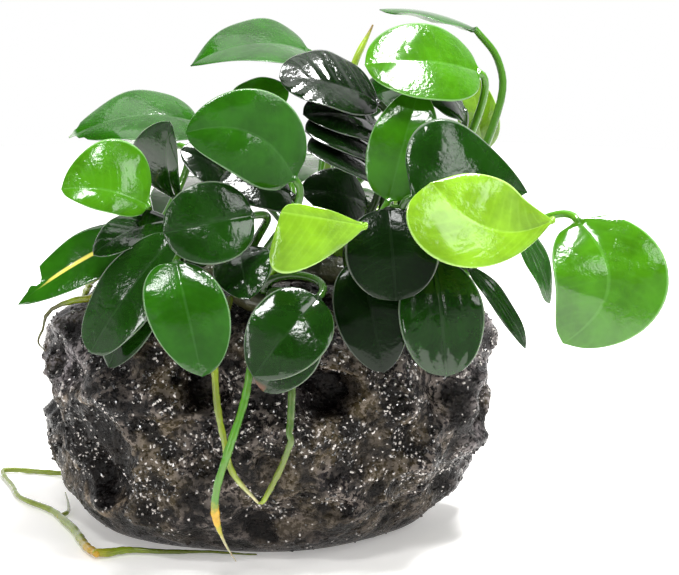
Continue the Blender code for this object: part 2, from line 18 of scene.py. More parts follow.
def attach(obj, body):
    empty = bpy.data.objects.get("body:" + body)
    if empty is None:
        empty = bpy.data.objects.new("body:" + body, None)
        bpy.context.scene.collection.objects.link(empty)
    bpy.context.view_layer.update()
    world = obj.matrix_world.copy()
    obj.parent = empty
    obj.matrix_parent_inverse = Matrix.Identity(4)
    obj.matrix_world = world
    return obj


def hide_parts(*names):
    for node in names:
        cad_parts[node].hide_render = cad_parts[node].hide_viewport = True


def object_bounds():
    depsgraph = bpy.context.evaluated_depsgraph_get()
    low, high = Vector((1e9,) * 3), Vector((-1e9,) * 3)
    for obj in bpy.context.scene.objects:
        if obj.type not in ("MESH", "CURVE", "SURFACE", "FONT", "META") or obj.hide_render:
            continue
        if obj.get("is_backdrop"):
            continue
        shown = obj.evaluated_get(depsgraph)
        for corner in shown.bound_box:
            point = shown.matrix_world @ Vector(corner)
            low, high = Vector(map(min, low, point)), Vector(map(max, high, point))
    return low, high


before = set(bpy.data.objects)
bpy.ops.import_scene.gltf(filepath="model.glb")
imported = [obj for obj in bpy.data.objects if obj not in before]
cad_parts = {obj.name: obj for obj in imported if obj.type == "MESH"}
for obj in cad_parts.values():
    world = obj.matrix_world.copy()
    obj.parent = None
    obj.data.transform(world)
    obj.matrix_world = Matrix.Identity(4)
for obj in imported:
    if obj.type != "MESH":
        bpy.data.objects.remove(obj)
cad_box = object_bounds()
MM = 0.001
print("frame box:", [[round(v / MM, 1) for v in corner] for corner in cad_box])

# %% [markdown]
# ## The camera
# A camera can be placed by eye or worked out from the picture. It was worked out: the flat foot of
# the stone is seen as a thin ellipse, which gives a camera 14 degrees above the floor, and a long
# lens, because the plant's far side is hardly smaller than its near side. There is no depth of
# field and no shift, so that every other view stays true.

# %% Camera
def show(name, data):
    """A new object in the scene for a camera, a lamp, a mesh or a curve."""
    thing = bpy.data.objects.new(name, data)
    bpy.context.scene.collection.objects.link(thing)
    return thing


CAMERA_PLACE, DEGREES_ABOVE_LEVEL = (16.25, -588.58, 202.14), 14.0
SENSOR_WIDTH, LENS_LENGTH = 36.0, 144.64

camera_data = bpy.data.cameras.new("camera")
camera_data.sensor_width, camera_data.lens = SENSOR_WIDTH, LENS_LENGTH
camera_data.clip_start, camera_data.clip_end = 0.01, 20.0
camera = show("camera", camera_data)
camera.location = Vector(CAMERA_PLACE) * MM
camera.rotation_euler = (math.radians(90.0 - DEGREES_ABOVE_LEVEL), 0.0, 0.0)
bpy.context.scene.camera = camera
bpy.context.scene.view_settings.view_transform = "Standard"
print("camera at", [round(v, 3) for v in camera.location])

# %% [markdown]
# ## Building node trees
# Materials, the world and Geometry Nodes are all trees of nodes. Small helpers keep the cells
# short: one adds a node and joins or sets its inputs, others do arithmetic or make noise. A second
# set is for colours, and its last two start a material and feed its shader.

# %% Helpers for node trees
def put(tree, kind, inputs=None, **settings):
    """Adds a node. Each input, by name or number, takes a value or another node's output."""
    node = tree.nodes.new(kind)
    for name, value in settings.items():
        setattr(node, name, value)
    for key, value in (inputs or {}).items():
        if isinstance(value, bpy.types.NodeSocket):
            tree.links.new(value, node.inputs[key])
        else:
            node.inputs[key].default_value = value
    return node


def tree_of(*values):
    """The tree that has these outputs."""
    return next(value.id_data for value in values if isinstance(value, bpy.types.NodeSocket))


def maths(operation, *values):
    tree = tree_of(*values)
    return put(tree, "ShaderNodeMath", dict(enumerate(values)), operation=operation).outputs[0]


def times(first, *others):
    for value in others:
        first = maths("MULTIPLY", first, value)
    return first


def plus(first, *others):
    for value in others:
        first = maths("ADD", first, value)
    return first


def vectors(operation, *values):
    tree = tree_of(*values)
    return put(tree, "ShaderNodeVectorMath", dict(enumerate(values)), operation=operation).outputs


def scaled(vector, factor):
    inputs = {0: vector, "Scale": factor}
    return put(tree_of(vector), "ShaderNodeVectorMath", inputs, operation="SCALE").outputs[0]


def xyz(vector):
    return put(tree_of(vector), "ShaderNodeSeparateXYZ", {0: vector}).outputs


def noise_on(where, size, detail=2.0, roughness=0.5):
    """Noise from 0 to 1 with features of this size in metres, a number or a node's output."""
    scale = 1.0 / size if isinstance(size, float) else maths("DIVIDE", 1.0, size)
    inputs = {"Vector": where, "Scale": scale, "Detail": detail, "Roughness": roughness}
    return put(tree_of(where), "ShaderNodeTexNoise", inputs).outputs[0]


def from_cells(where, scale, metric="EUCLIDEAN"):
    """How far a point is from the middle of its Voronoi cell."""
    inputs = {"Vector": where, "Scale": scale}
    tree = tree_of(where)
    return put(tree, "ShaderNodeTexVoronoi", inputs, distance=metric).outputs["Distance"]


# %% Helpers for colours and finishes
def ramp(value, low, high, start=0.0, end=1.0):
    """The value turned smoothly from start to end as it goes from low to high."""
    inputs = {"Value": value, "From Min": low, "From Max": high, "To Min": start, "To Max": end}
    tree = tree_of(value)
    return put(tree, "ShaderNodeMapRange", inputs, interpolation_type="SMOOTHSTEP").outputs[0]


def rgb(red, green, blue):
    return red, green, blue, 1.0


def blend(share, first, second):
    """A colour between two colours."""
    inputs = {0: share, 6: first, 7: second}
    return put(tree_of(share), "ShaderNodeMix", inputs, data_type="RGBA").outputs[2]


def tint(color, towards, *shares):
    """The colour turned towards another one, by the product of the masks and shares."""
    return blend(times(*shares), color, towards)


def new_finish(name, **fixed):
    """A material with its Principled shader, whose plain numbers are set on its own sockets."""
    material = bpy.data.materials.new(name)
    material.use_nodes = True
    shader = material.node_tree.nodes["Principled BSDF"]
    for key, value in fixed.items():
        shader.inputs[key.replace("_", " ")].default_value = value
    place = put(material.node_tree, "ShaderNodeTexCoord").outputs["Object"]
    return material, shader, place


def feed(shader, **values):
    for key, value in values.items():
        shader.id_data.links.new(value, shader.inputs[key.replace("_", " ")])

# %% [markdown]
# ## Light
# Wet leaves are mirrors, so the light is designed by what they should reflect. The world is a white
# studio, bright behind the plant, with a softer card at either side, and dark in front, so that
# leaves that face the camera keep their deep green. Five softboxes stand in it. The overhead one
# gives the crisp white patches on the upper leaves. Those at the front and the right give patches
# on leaves that lean towards the camera, the strip edges the left side, and the one at the back
# lights what leans away. The camera itself sees plain white behind the plant.

# %% World
world = bpy.data.worlds.new("white studio")
bpy.context.scene.world = world
world.use_nodes = True
sky = world.node_tree
background = sky.nodes["Background"]
direction = put(sky, "ShaderNodeTexCoord").outputs["Generated"]
east, north, up = xyz(direction)
behind = ramp(north, 0.18, 0.60, 0.05, 1.3)
cards = ramp(maths("ABSOLUTE", east), 0.75, 0.92, 0.0, 0.4)
low_front = times(ramp(up, 0.36, 0.40, 0.5, 0.0), ramp(north, -0.35, -0.15, 1.0, 0.0))
surroundings = plus(behind, cards, low_front)
seen = put(sky, "ShaderNodeLightPath").outputs["Is Camera Ray"]
strength = put(sky, "ShaderNodeMix", {0: seen, 2: surroundings, 3: 1.0}).outputs[0]
sky.links.new(strength, background.inputs["Strength"])
background.inputs["Color"].default_value = rgb(1.0, 1.0, 1.0)
print("world:", world.name)

# %% Softboxes and floor
SOFTBOXES = {  # where it hangs and where it points, in metres, then its width, depth and watts
    "softbox_overhead": ((0.14, -0.06, 0.64), (0.06, -0.02, 0.05), 0.30, 0.10, 9.0),
    "softbox_back": ((0.0, 0.13, 0.66), (0.0, 0.0, 0.08), 0.50, 0.20, 0.8),
    "softbox_front": ((-0.07, -0.42, 0.60), (0.0, -0.03, 0.06), 0.17, 0.08, 1.7),
    "strip_left": ((-0.37, -0.51, 0.25), (0.0, 0.0, 0.06), 0.05, 0.30, 0.9),
    "softbox_right": ((0.38, -0.40, 0.47), (0.0, 0.0, 0.06), 0.20, 0.20, 0.75),
}
FLOOR_RADIUS, FLOOR_CORNERS = 0.46, 64

for name, (place, aim, width, depth, watts) in SOFTBOXES.items():
    data = bpy.data.lights.new(name, "AREA")
    data.shape = "RECTANGLE"
    data.size, data.size_y, data.energy = width, depth, watts
    lamp = show(name, data)
    lamp.location = place
    lamp.rotation_euler = (Vector(aim) - Vector(place)).to_track_quat("-Z", "Y").to_euler()

turns = [math.tau * k / FLOOR_CORNERS for k in range(FLOOR_CORNERS)]
corners = [(FLOOR_RADIUS * math.cos(turn), FLOOR_RADIUS * math.sin(turn), 0.0) for turn in turns]
floor_mesh = bpy.data.meshes.new("floor")
floor_mesh.from_pydata(corners, [], [tuple(range(FLOOR_CORNERS))])
white, *_ = new_finish(
    "white floor", Base_Color=rgb(0.88, 0.87, 0.85), Roughness=0.9,
    Emission_Color=rgb(1.0, 0.98, 0.96), Emission_Strength=0.3)
floor_mesh.materials.append(white)
floor = show("floor", floor_mesh)
floor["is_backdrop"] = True
print("softboxes:", len(SOFTBOXES), "- floor:", FLOOR_RADIUS, "m in radius")

# %% [markdown]
# ## Meshes from rings
# The stone and every leaf are lofts: rings of points joined into one closed skin. The rings of a
# leaf carry three numbers for its material: how far across the blade a point lies, how far along
# it, and whether it is on the upper face, the lower face or the stalk.

# %% Skins over rings
def loft(rings, tip=None):
    """Points and faces of a closed skin over rings of equal length."""
    count = len(rings[0])
    points = [point for ring in rings for point in ring]
    faces = [tuple(reversed(range(count)))]
    for low in range(0, (len(rings) - 1) * count, count):
        for i in range(count):
            j = (i + 1) % count
            faces.append((low + i, low + j, low + count + j, low + count + i))
    last = (len(rings) - 1) * count
    if tip is None:
        faces.append(tuple(range(last, last + count)))
        return points, faces
    points.append(tip)
    faces += [(last + i, last + (i + 1) % count, last + count) for i in range(count)]
    return points, faces


def make_piece(name, points, faces, material, **attributes):
    """A smooth closed mesh from points in millimetres, with a vector attribute for each name."""
    mesh = bpy.data.meshes.new(name)
    mesh.from_pydata([Vector(point) * MM for point in points], [], faces)
    for key, values in attributes.items():
        layer = mesh.attributes.new(key, "FLOAT_VECTOR", "POINT")
        layer.data.foreach_set("vector", [number for value in values for number in value])
    body = bmesh.new()
    body.from_mesh(mesh)
    bmesh.ops.recalc_face_normals(body, faces=body.faces)
    body.to_mesh(mesh)
    body.free()
    mesh.shade_smooth()
    mesh.materials.append(material)
    return show(name, mesh)


def keep_inside(piece):
    """Holds every point inside the frame's box and on or above the floor."""
    low, high = cad_box
    for vertex in piece.data.vertices:
        vertex.co = [min(max(v, a), b) for v, a, b in zip(vertex.co, low, high)]


def stand_in_for(piece, node):
    """The piece is held inside the frame's box, rides on the plant's one body and replaces its CAD
    node.
    """
    keep_inside(piece)
    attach(piece, "root")
    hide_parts(node)


def smooth_path(points, steps):
    """Points along a smooth curve through the given ones, with `steps` spans between each two."""
    ends = [points[0] * 2 - points[1], *points, points[-1] * 2 - points[-2]]
    path = []
    for before, start, end, after in zip(ends, ends[1:], ends[2:], ends[3:]):
        for k in range(steps):
            t = k / steps
            bend = (2 * before - 5 * start + 4 * end - after) * t**2
            bend += (3 * start - before - 3 * end + after) * t**3
            path.append(0.5 * (2 * start + (end - before) * t + bend))
    path.append(points[-1].copy())
    return path


def tangents(path):
    spans = zip([path[0], *path[:-1]], [*path[1:], path[-1]])
    return [(after - before).normalized() for before, after in spans]


# %% [markdown]
# ## The shape of the lava rock
# Lava rock is a frothy lump: broad lumps and hollows, round gas pits, and a crust of grit. The
# broad shape has to be the frame's own, so it comes from the same rule, at a much finer grid: an
# outline that swells and narrows with height, pushed in and out by noise, by named hollows and
# lumps, and by pits round the cells of a Voronoi pattern.

# %% Stone profile, hollows and lumps
STONE_WIDTH, STONE_DEPTH, STONE_HEIGHT = 101.0, 78.0, 57.0
LEAN_LEFT = 3.2
STONE_WAVES = (6.5, 21.0), (4.0, 9.0)  # the height and size of broad and small unevenness
PIT_SPACING, PIT_REACH, PIT_DEPTH = 11.0, 0.40, 2.4
FOOT_HEIGHT, FOOT_GAP = 12.0, 0.35
# Shares of width and depth, and the height, from the foot to the top.
STONE_PROFILE = (
    (0.62, 0.48, 0.0), (0.70, 0.57, 1.6), (0.78, 0.69, 4.6), (0.85, 0.80, 8.6),
    (0.90, 0.88, 13.2), (0.94, 0.94, 18.2), (0.98, 0.98, 23.4), (1.00, 1.00, 28.6),
    (1.00, 1.00, 33.6), (0.99, 0.98, 38.4), (0.95, 0.94, 42.8), (0.90, 0.88, 46.8),
    (0.81, 0.80, 50.2), (0.68, 0.69, 53.0), (0.54, 0.54, 55.2), (0.34, 0.34, 56.4),
    (0.15, 0.15, 57.0),
)
# Each: the middle, the radii across, up and inwards, and the depth or height.
STONE_HOLLOWS = (
    ((-40.0, -26.0, 22.0), (13.0, 13.0, 14.0), 9.0),
    ((12.5, -38.0, 41.0), (9.0, 14.0, 5.5), 8.0),
    ((-13.0, -38.0, 42.0), (6.0, 14.0, 5.5), 6.0),
    ((27.0, -34.0, 28.0), (8.0, 14.0, 7.0), 3.0),
    ((-20.0, 36.0, 30.0), (14.0, 14.0, 10.0), 7.0),
    ((24.0, 34.0, 22.0), (11.0, 14.0, 10.0), 6.0),
    ((50.0, 6.0, 22.0), (12.0, 12.0, 9.0), 5.0),
    ((-50.0, 14.0, 32.0), (12.0, 10.0, 9.0), 5.0),
    ((-54.0, 3.0, 28.0), (12.0, 16.0, 10.0), 6.0),
    ((48.0, -12.0, 12.0), (14.0, 24.0, 12.0), 3.0),
)
STONE_LUMPS = (
    ((36.0, -27.0, 17.0), (12.0, 14.0, 10.0), 3.5),
    ((-27.0, -36.0, 38.0), (14.0, 14.0, 5.5), 3.0),
    ((10.0, -39.0, 33.0), (18.0, 14.0, 5.0), 3.0),
    ((-45.0, -8.0, 44.0), (12.0, 14.0, 6.0), 1.0),
    ((46.0, -6.0, 35.0), (12.0, 14.0, 7.0), 1.2),
    ((0.0, 38.0, 36.0), (16.0, 14.0, 6.0), 3.5),
    ((-36.0, 26.0, 15.0), (14.0, 14.0, 7.0), 3.5),
)


def outline_share(angle):
    share = 1.0 + 0.035 * math.cos(2 * angle + 0.6)
    return share + 0.03 * math.sin(3 * angle) + 0.02 * math.cos(5 * angle)


def bump_at(point, bumps):
    total = 0.0
    for middle, radii, height in bumps:
        away = sum(((p - m) / r) ** 2 for p, m, r in zip(point, middle, radii))
        total += height * max(0.0, 1.0 - away) ** 0.7
    return total


def pit_at(point):
    distances, _ = noise.voronoi(point / PIT_SPACING)
    return PIT_DEPTH * max(0.0, 1.0 - (distances[0] / PIT_REACH) ** 2)


def stone_point(share_x, share_y, height, angle):
    """The outline at this height, pushed in or out. Steepness is 0 on top and 1 on the sides."""
    radius_x = STONE_WIDTH / 2 * outline_share(angle)
    radius_y = STONE_DEPTH / 2 * outline_share(angle)
    lean = LEAN_LEFT * max(0.0, 1.0 - 2 * height / STONE_HEIGHT)
    x = share_x * radius_x * math.cos(angle) - lean
    point = Vector((x, share_y * radius_y * math.sin(angle), height))
    if height <= 0.0:
        return point
    outward = Vector((math.cos(angle) / radius_x, math.sin(angle) / radius_y, 0.0)).normalized()
    steepness = min(1.0, max(0.0, (share_y - 0.5) / 0.4))
    upward = Vector((0.0, 0.0, 1.0 if height > STONE_HEIGHT / 2 else -0.4))
    normal = (outward * steepness + upward * (1.0 - steepness)).normalized()
    relief = sum(wave * noise.noise(point / size) for wave, size in STONE_WAVES)
    relief += bump_at(point, STONE_LUMPS) - bump_at(point, STONE_HOLLOWS) - pit_at(point)
    point = point + normal * relief * min(1.0, height / FOOT_HEIGHT) * (0.35 + 0.65 * steepness)
    point.z = max(point.z, FOOT_GAP)
    return point


# %% Stone grid
STONE_COLUMNS, STONE_STEPS = 400, 13

angles = [math.tau * k / STONE_COLUMNS for k in range(STONE_COLUMNS)]
profile = smooth_path([Vector(row) for row in STONE_PROFILE], STONE_STEPS)
stone_points, stone_faces = loft(
    [[stone_point(row.x, row.y, max(row.z, 0.0), angle) for angle in angles] for row in profile])
print("stone grid:", len(stone_points), "points")

# %% [markdown]
# ## The crust, by Geometry Nodes
# The fine froth could be modelled, sculpted or faked with a bump. Seen from close by, the pits
# break the outline of the stone, so they are real shape: a Geometry Nodes tree moves every point
# along its normal by lumps, crumbs, pores and grit, each of its own size. Crumbs and pores come in
# patches and fade towards the foot, where the stone is smoother, and what stands on the floor stays
# still. The tree also notes how high each point was raised, so that the colours can follow it with
# painted shade in the low points and painted light on the high ones.

# %% Geometry Nodes helpers
def geometry_tree(name, **sizes):
    """A tree with a Geometry input, the named number inputs and a Material input."""
    tree = bpy.data.node_groups.new(name, "GeometryNodeTree")
    tree.interface.new_socket("Geometry", in_out="INPUT", socket_type="NodeSocketGeometry")
    for key, value in sizes.items():
        kind = "NodeSocketInt" if isinstance(value, int) else "NodeSocketFloat"
        socket = tree.interface.new_socket(key.replace("_", " "), in_out="INPUT", socket_type=kind)
        socket.default_value = value
    tree.interface.new_socket("Material", in_out="INPUT", socket_type="NodeSocketMaterial")
    tree.interface.new_socket("Geometry", in_out="OUTPUT", socket_type="NodeSocketGeometry")
    return tree, tree.nodes.new("NodeGroupInput").outputs


def close_tree(tree, geometry, material):
    """Ends a tree: whole shapes instead of instances, then the material."""
    whole = put(tree, "GeometryNodeRealizeInstances", {0: geometry}).outputs[0]
    painted = put(tree, "GeometryNodeSetMaterial", {0: whole, 2: material}).outputs[0]
    put(tree, "NodeGroupOutput", {0: painted})


def grow(obj, tree, name, material, **sizes):
    """Runs the tree on the object and returns what it makes as a plain mesh object."""
    modifier = obj.modifiers.new(tree.name, "NODES")
    modifier.node_group = tree
    values = {key.replace("_", " "): value for key, value in sizes.items()}
    values["Material"] = material
    for item in tree.interface.items_tree:
        if item.in_out == "INPUT" and item.name in values:
            modifier[item.identifier] = values[item.name]
    graph = bpy.context.evaluated_depsgraph_get()
    mesh = bpy.data.meshes.new_from_object(obj.evaluated_get(graph), depsgraph=graph)
    mesh.name = name
    obj.modifiers.remove(modifier)
    mesh.shade_smooth()
    return show(name, mesh)


# %% The crust tree
crust, given = geometry_tree(
    "lava crust", Lump_Size=0.0052, Lump_Height=0.0024, Crumb_Size=0.0024, Crumb_Height=0.0006,
    Pore_Size=0.0060, Pore_Depth=0.0018, Grit_Size=0.0009, Grit_Height=0.0005)
CRUST_SET_IN = 0.0006
where = put(crust, "GeometryNodeInputPosition").outputs[0]
_, _, level = xyz(where)


def cells(size, reach, metric="EUCLIDEAN"):
    """1 in the middle of a Voronoi cell, 0 beyond its reach."""
    away = from_cells(where, maths("DIVIDE", 1.0, given[size]), metric)
    return ramp(away, 0.0, reach, 1.0, 0.0)


def rough(size, detail):
    return maths("SUBTRACT", noise_on(where, given[size], detail), 0.5)


smoother_foot = ramp(level, 0.008, 0.018, 0.35, 1.0)
patchy = times(ramp(rough("Pore Size", 1.0), -0.10, 0.14, 0.3, 1.0), smoother_foot)
crumbs = times(cells("Crumb Size", 0.75, "MANHATTAN"), given["Crumb Height"], patchy)
pores = times(cells("Pore Size", 0.34), patchy, given["Pore Depth"])
grit = times(rough("Grit Size", 3.0), given["Grit Height"])
lumps = times(rough("Lump Size", 5.0), given["Lump Height"])
raised = plus(grit, lumps, crumbs)
height = maths("SUBTRACT", raised, plus(pores, CRUST_SET_IN))
relief = ramp(height, -0.0014, 0.0010)
height = times(height, ramp(level, 0.0003, 0.006))
noted = put(crust, "GeometryNodeStoreNamedAttribute", {
    "Geometry": given["Geometry"], "Name": "relief", "Value": relief}, domain="POINT").outputs[0]
push = scaled(put(crust, "GeometryNodeInputNormal").outputs[0], height)
moved = put(crust, "GeometryNodeSetPosition", {"Geometry": noted, "Offset": push}).outputs[0]
close_tree(crust, moved, given["Material"])
print("crust tree:", len(crust.nodes), "nodes")

# %% [markdown]
# ## Shader groups that several finishes share
# Three effects come back in many materials: a slow drift between two colours, a wet skin that is
# gently uneven and has speckled patches, and the veins, rim, underside and stalk of a leaf. Each is
# a group that puts out only masks or a height, so every material can use it at its own scale.

# %% Shader groups
def shader_group(name, inputs, outputs):
    """A group with these inputs, where None stands for a vector, and with plain number outputs."""
    tree = bpy.data.node_groups.new(name, "ShaderNodeTree")
    for key, value in inputs.items():
        kind = "NodeSocketVector" if value is None else "NodeSocketFloat"
        socket = tree.interface.new_socket(key, in_out="INPUT", socket_type=kind)
        if value is not None:
            socket.default_value = value
    for key in outputs:
        tree.interface.new_socket(key, in_out="OUTPUT", socket_type="NodeSocketFloat")
    return tree, tree.nodes.new("NodeGroupInput").outputs


def use_group(group, **values):
    inputs = {key.replace("_", " "): value for key, value in values.items()}
    return put(tree_of(*values.values()), "ShaderNodeGroup", inputs, node_tree=group).outputs


def speckles(place, size_mm, detail=2.0):
    return noise_on(place, size_mm * MM, detail)


drift, given = shader_group(
    "colour drift", {"Place": None, "Size": 0.012, "Contrast": 0.5}, ["Share"])
uneven = noise_on(given["Place"], given["Size"], 4.0, 0.6)
half_contrast = times(given["Contrast"], -0.25)
low = plus(0.5, half_contrast)
high = maths("SUBTRACT", 0.5, half_contrast)
put(drift, "NodeGroupOutput", {"Share": ramp(uneven, low, high)})

wet_skin, given = shader_group(
    "wet skin", {"Place": None, "Swell": 0.06, "Speckle": 0.012, "Speckle Cover": 0.5},
    ["Height", "Speckled"])
swells = speckles(given["Place"], 5.5, 1.0)
cover = speckles(given["Place"], 7.0, 3.0)
cover_low = maths("SUBTRACT", 0.9, given["Speckle Cover"])
speckled = ramp(cover, cover_low, plus(cover_low, 0.12))
fine_grain = speckles(given["Place"], 0.75)
height = plus(times(swells, given["Swell"]), times(fine_grain, speckled, given["Speckle"]))
put(wet_skin, "NodeGroupOutput", {"Height": height, "Speckled": speckled})

veins, given = shader_group(
    "leaf veins", {"Blade": None, "Count": 11.0, "Sweep": 0.2},
    ["Midrib", "Veins", "Rim", "Underside", "Stalk"])
across, along, side = xyz(given["Blade"])
from_middle = maths("ABSOLUTE", across)
swept = times(maths("POWER", from_middle, 1.5), given["Sweep"])
wave = times(maths("SUBTRACT", along, swept), given["Count"])
wave = maths("ABSOLUTE", maths("COSINE", times(wave, math.pi)))
wave = maths("POWER", wave, 9.0)
put(veins, "NodeGroupOutput", {
    "Midrib": ramp(from_middle, 0.012, 0.05, 1.0, 0.0),
    "Veins": times(wave, ramp(from_middle, 0.6, 0.98, 1.0, 0.1)),
    "Rim": ramp(from_middle, 0.945, 0.985),
    "Underside": ramp(side, -0.2, -0.6),
    "Stalk": ramp(along, 0.015, -0.02)})
print("groups:", drift.name, "/", wet_skin.name, "/", veins.name)

# %% [markdown]
# ## Wet lava rock
# Wet lava looks black in its pores and grey-brown on its crumbs, and its gloss is broken up into
# points. A strong shine over all of it would only lay grey haze on the froth, so the shine is low
# and the colours show the froth, with painted light and shade in them. Each is a mask over the
# surface or the shape, blended one over the other: drifts of two sizes, a painted violet-grey sheen
# on the left shoulder and the right edge, a paler foot, painted shade that turns the hollows, the
# pores and the great bowl at the left black, painted light on the raised tops, and a painted
# highlight along the bowl's lip.

# %% Helpers for surfaces
def bump(shader, height, strength=1.0):
    """Feeds a height in millimetres to the shader's normal."""
    inputs = {"Height": height, "Distance": MM, "Strength": strength}
    feed(shader, Normal=put(shader.id_data, "ShaderNodeBump", inputs).outputs[0])


def drifting(place, size, contrast):
    return use_group(drift, Place=place, Size=size, Contrast=contrast)["Share"]


def noted_on(shader, attribute, kind="Fac"):
    """What was stored on the mesh under this name."""
    tree = shader.id_data
    return put(tree, "ShaderNodeAttribute", attribute_name=attribute).outputs[kind]

# %% Stone material
BOWL_MIDDLE, BOWL_STRETCH = (-39.0, -20.0, 22.0), (1.4, 1.0, 1.0)
BLACK, PORE_SHADE_BLACK = rgb(0.003, 0.002, 0.002), rgb(0.0015, 0.001, 0.001)

lava, shader, place = new_finish(
    "wet lava rock", Specular_IOR_Level=0.12, Coat_Weight=0.03, Coat_Roughness=0.1)
across, _, up = xyz(place)
fine = drifting(place, 0.0012, 0.4)
relief = noted_on(shader, "relief")
hollow, _, _ = xyz(noted_on(shader, "hollow", "Vector"))
color = blend(drifting(place, 0.014, 0.5), BLACK, rgb(0.014, 0.011, 0.012))
color = tint(color, rgb(0.150, 0.126, 0.110), ramp(fine, 0.25, 0.70, 0.0, 0.95))
color = tint(color, rgb(0.085, 0.062, 0.022), drifting(place, 0.016, 0.3), 0.40)
# painted sheen: a violet-grey reflection laid into the colour of the left shoulder and the right
# edge
shoulder = times(ramp(across, -0.034, -0.044), ramp(up, 0.030, 0.040))
painted_sheen = maths("MAXIMUM", shoulder, ramp(across, 0.036, 0.048, 0.0, 0.6))
color = tint(color, rgb(0.22, 0.20, 0.22), painted_sheen, times(fine, 0.8))
color = tint(color, rgb(0.060, 0.050, 0.048), ramp(up, 0.016, 0.003), 0.45)

from_bowl = vectors("SUBTRACT", place, [v * MM for v in BOWL_MIDDLE])[0]
from_bowl = vectors("MULTIPLY", from_bowl, BOWL_STRETCH)[0]
from_bowl = vectors("LENGTH", from_bowl)["Value"]
# painted highlight: a lighter band along the lip of the great bowl
lip_highlight = times(ramp(from_bowl, 0.0135, 0.0142), ramp(from_bowl, 0.0165, 0.0150))
lip_highlight = times(lip_highlight, ramp(fine, 0.2, 0.6, 0.3, 1.0))
color = tint(color, rgb(0.26, 0.20, 0.14), lip_highlight, 0.75)
# painted light: the raised tops of the crust made paler
lit_tops = times(ramp(relief, 0.62, 0.95), ramp(fine, 0.35, 0.65))
color = tint(color, rgb(0.30, 0.265, 0.245), lit_tops, 0.7)
# painted shade: the great bowl and the named hollows turned black
bowl_shade = ramp(from_bowl, 0.0140, 0.0130, 0.0, 0.92)
hollow_shade = maths("MAXIMUM", ramp(hollow, 0.05, 0.55, 0.0, 0.88), bowl_shade)
color = tint(color, BLACK, hollow_shade)
# painted shade: the low points of the crust turned near black
color = tint(color, PORE_SHADE_BLACK, ramp(relief, 0.12, 0.50, 0.95, 0.0))
feed(shader, Base_Color=color, Roughness=ramp(fine, 0.0, 1.0, 0.14, 0.34))
crumbs = times(from_cells(place, 1100.0), -0.35)
height = plus(crumbs, times(speckles(place, 0.45, 3.0), 0.40))
bump(shader, height, 0.9)
print("finish:", lava.name, "-", len(lava.node_tree.nodes), "nodes")

# %% Stone piece
DEEPEST_HOLLOW, SMOOTHINGS = 9.0, 8

depths = [(bump_at(point, STONE_HOLLOWS) / DEEPEST_HOLLOW, 0.0, 0.0) for point in stone_points]
stone_seed = make_piece("stone_seed", stone_points, stone_faces, lava, hollow=depths)
body = bmesh.new()
body.from_mesh(stone_seed.data)
above_floor = [vertex for vertex in body.verts if vertex.co.z > MM]
for _ in range(SMOOTHINGS):
    bmesh.ops.smooth_vert(
        body, verts=above_floor, factor=0.5, use_axis_x=True, use_axis_y=True, use_axis_z=True)
body.to_mesh(stone_seed.data)
body.free()
stone = grow(stone_seed, crust, "lava_stone", lava)
bpy.data.objects.remove(stone_seed)
stand_in_for(stone, "stone")
print("stone:", len(stone.data.polygons), "faces")

# %% [markdown]
# ## Grains on the stone
# Some of the crust stands free, as grit and crumbs. Round, smooth grains would look like foam, so
# these are flat-faced: one face flashes white and the next stays black, as on wet grit. Geometry
# Nodes scatter them: points over the faces, a twenty-sided grain set halfway into the stone on
# each, with its size and turn drawn from fixed seeds. They come in clumps, with fewer in hollows,
# near the foot and on top, and a share of the grit is pale, partly as a pale mineral and partly as
# painted glints.

# %% Grit finish
grit_finish, shader, place = new_finish(
    "wet grit", Specular_IOR_Level=1.0, Roughness=0.14, Coat_Weight=0.5, Coat_Roughness=0.08)
# pale grains: partly a pale mineral, partly painted glints
pale_grit_and_glint = ramp(drifting(place, 0.0012, 0.4), 0.54, 0.78)
color = blend(pale_grit_and_glint, rgb(0.006, 0.005, 0.005), rgb(0.50, 0.46, 0.43))
feed(shader, Base_Color=color)
bump(shader, times(speckles(place, 0.3), 0.03))
print("finish:", grit_finish.name)

# %% Grain tree
SET_IN, ANY_TURN, TURN_SEED = -0.6, 6.28, 3
scatter, given = geometry_tree(
    "stone grains", Density=1000000.0, Grain_Radius=0.00044, Clump_Size=0.009, Seed=7)
spot = put(scatter, "GeometryNodeInputPosition").outputs[0]
_, _, level = xyz(spot)
hollow = put(
    scatter, "GeometryNodeInputNamedAttribute", {"Name": "hollow"}, data_type="FLOAT_VECTOR")
hollow, _, _ = xyz(hollow.outputs[0])
clumps = noise_on(spot, given["Clump Size"])
often = times(
    ramp(clumps, 0.42, 0.62, 0.12, 1.0), ramp(level, 0.006, 0.016, 0.1, 1.0),
    ramp(hollow, 0.1, 0.5, 1.0, 0.35), ramp(level, 0.044, 0.056, 1.0, 0.3))
points = put(scatter, "GeometryNodeDistributePointsOnFaces", {
    "Mesh": given["Geometry"], "Density": times(given["Density"], often),
    "Seed": given["Seed"]}).outputs


def drawn(low, high, seed):
    """A vector drawn for each grain."""
    inputs = {0: low, 1: high, "Seed": seed}
    return put(scatter, "FunctionNodeRandomValue", inputs, data_type="FLOAT_VECTOR").outputs[0]


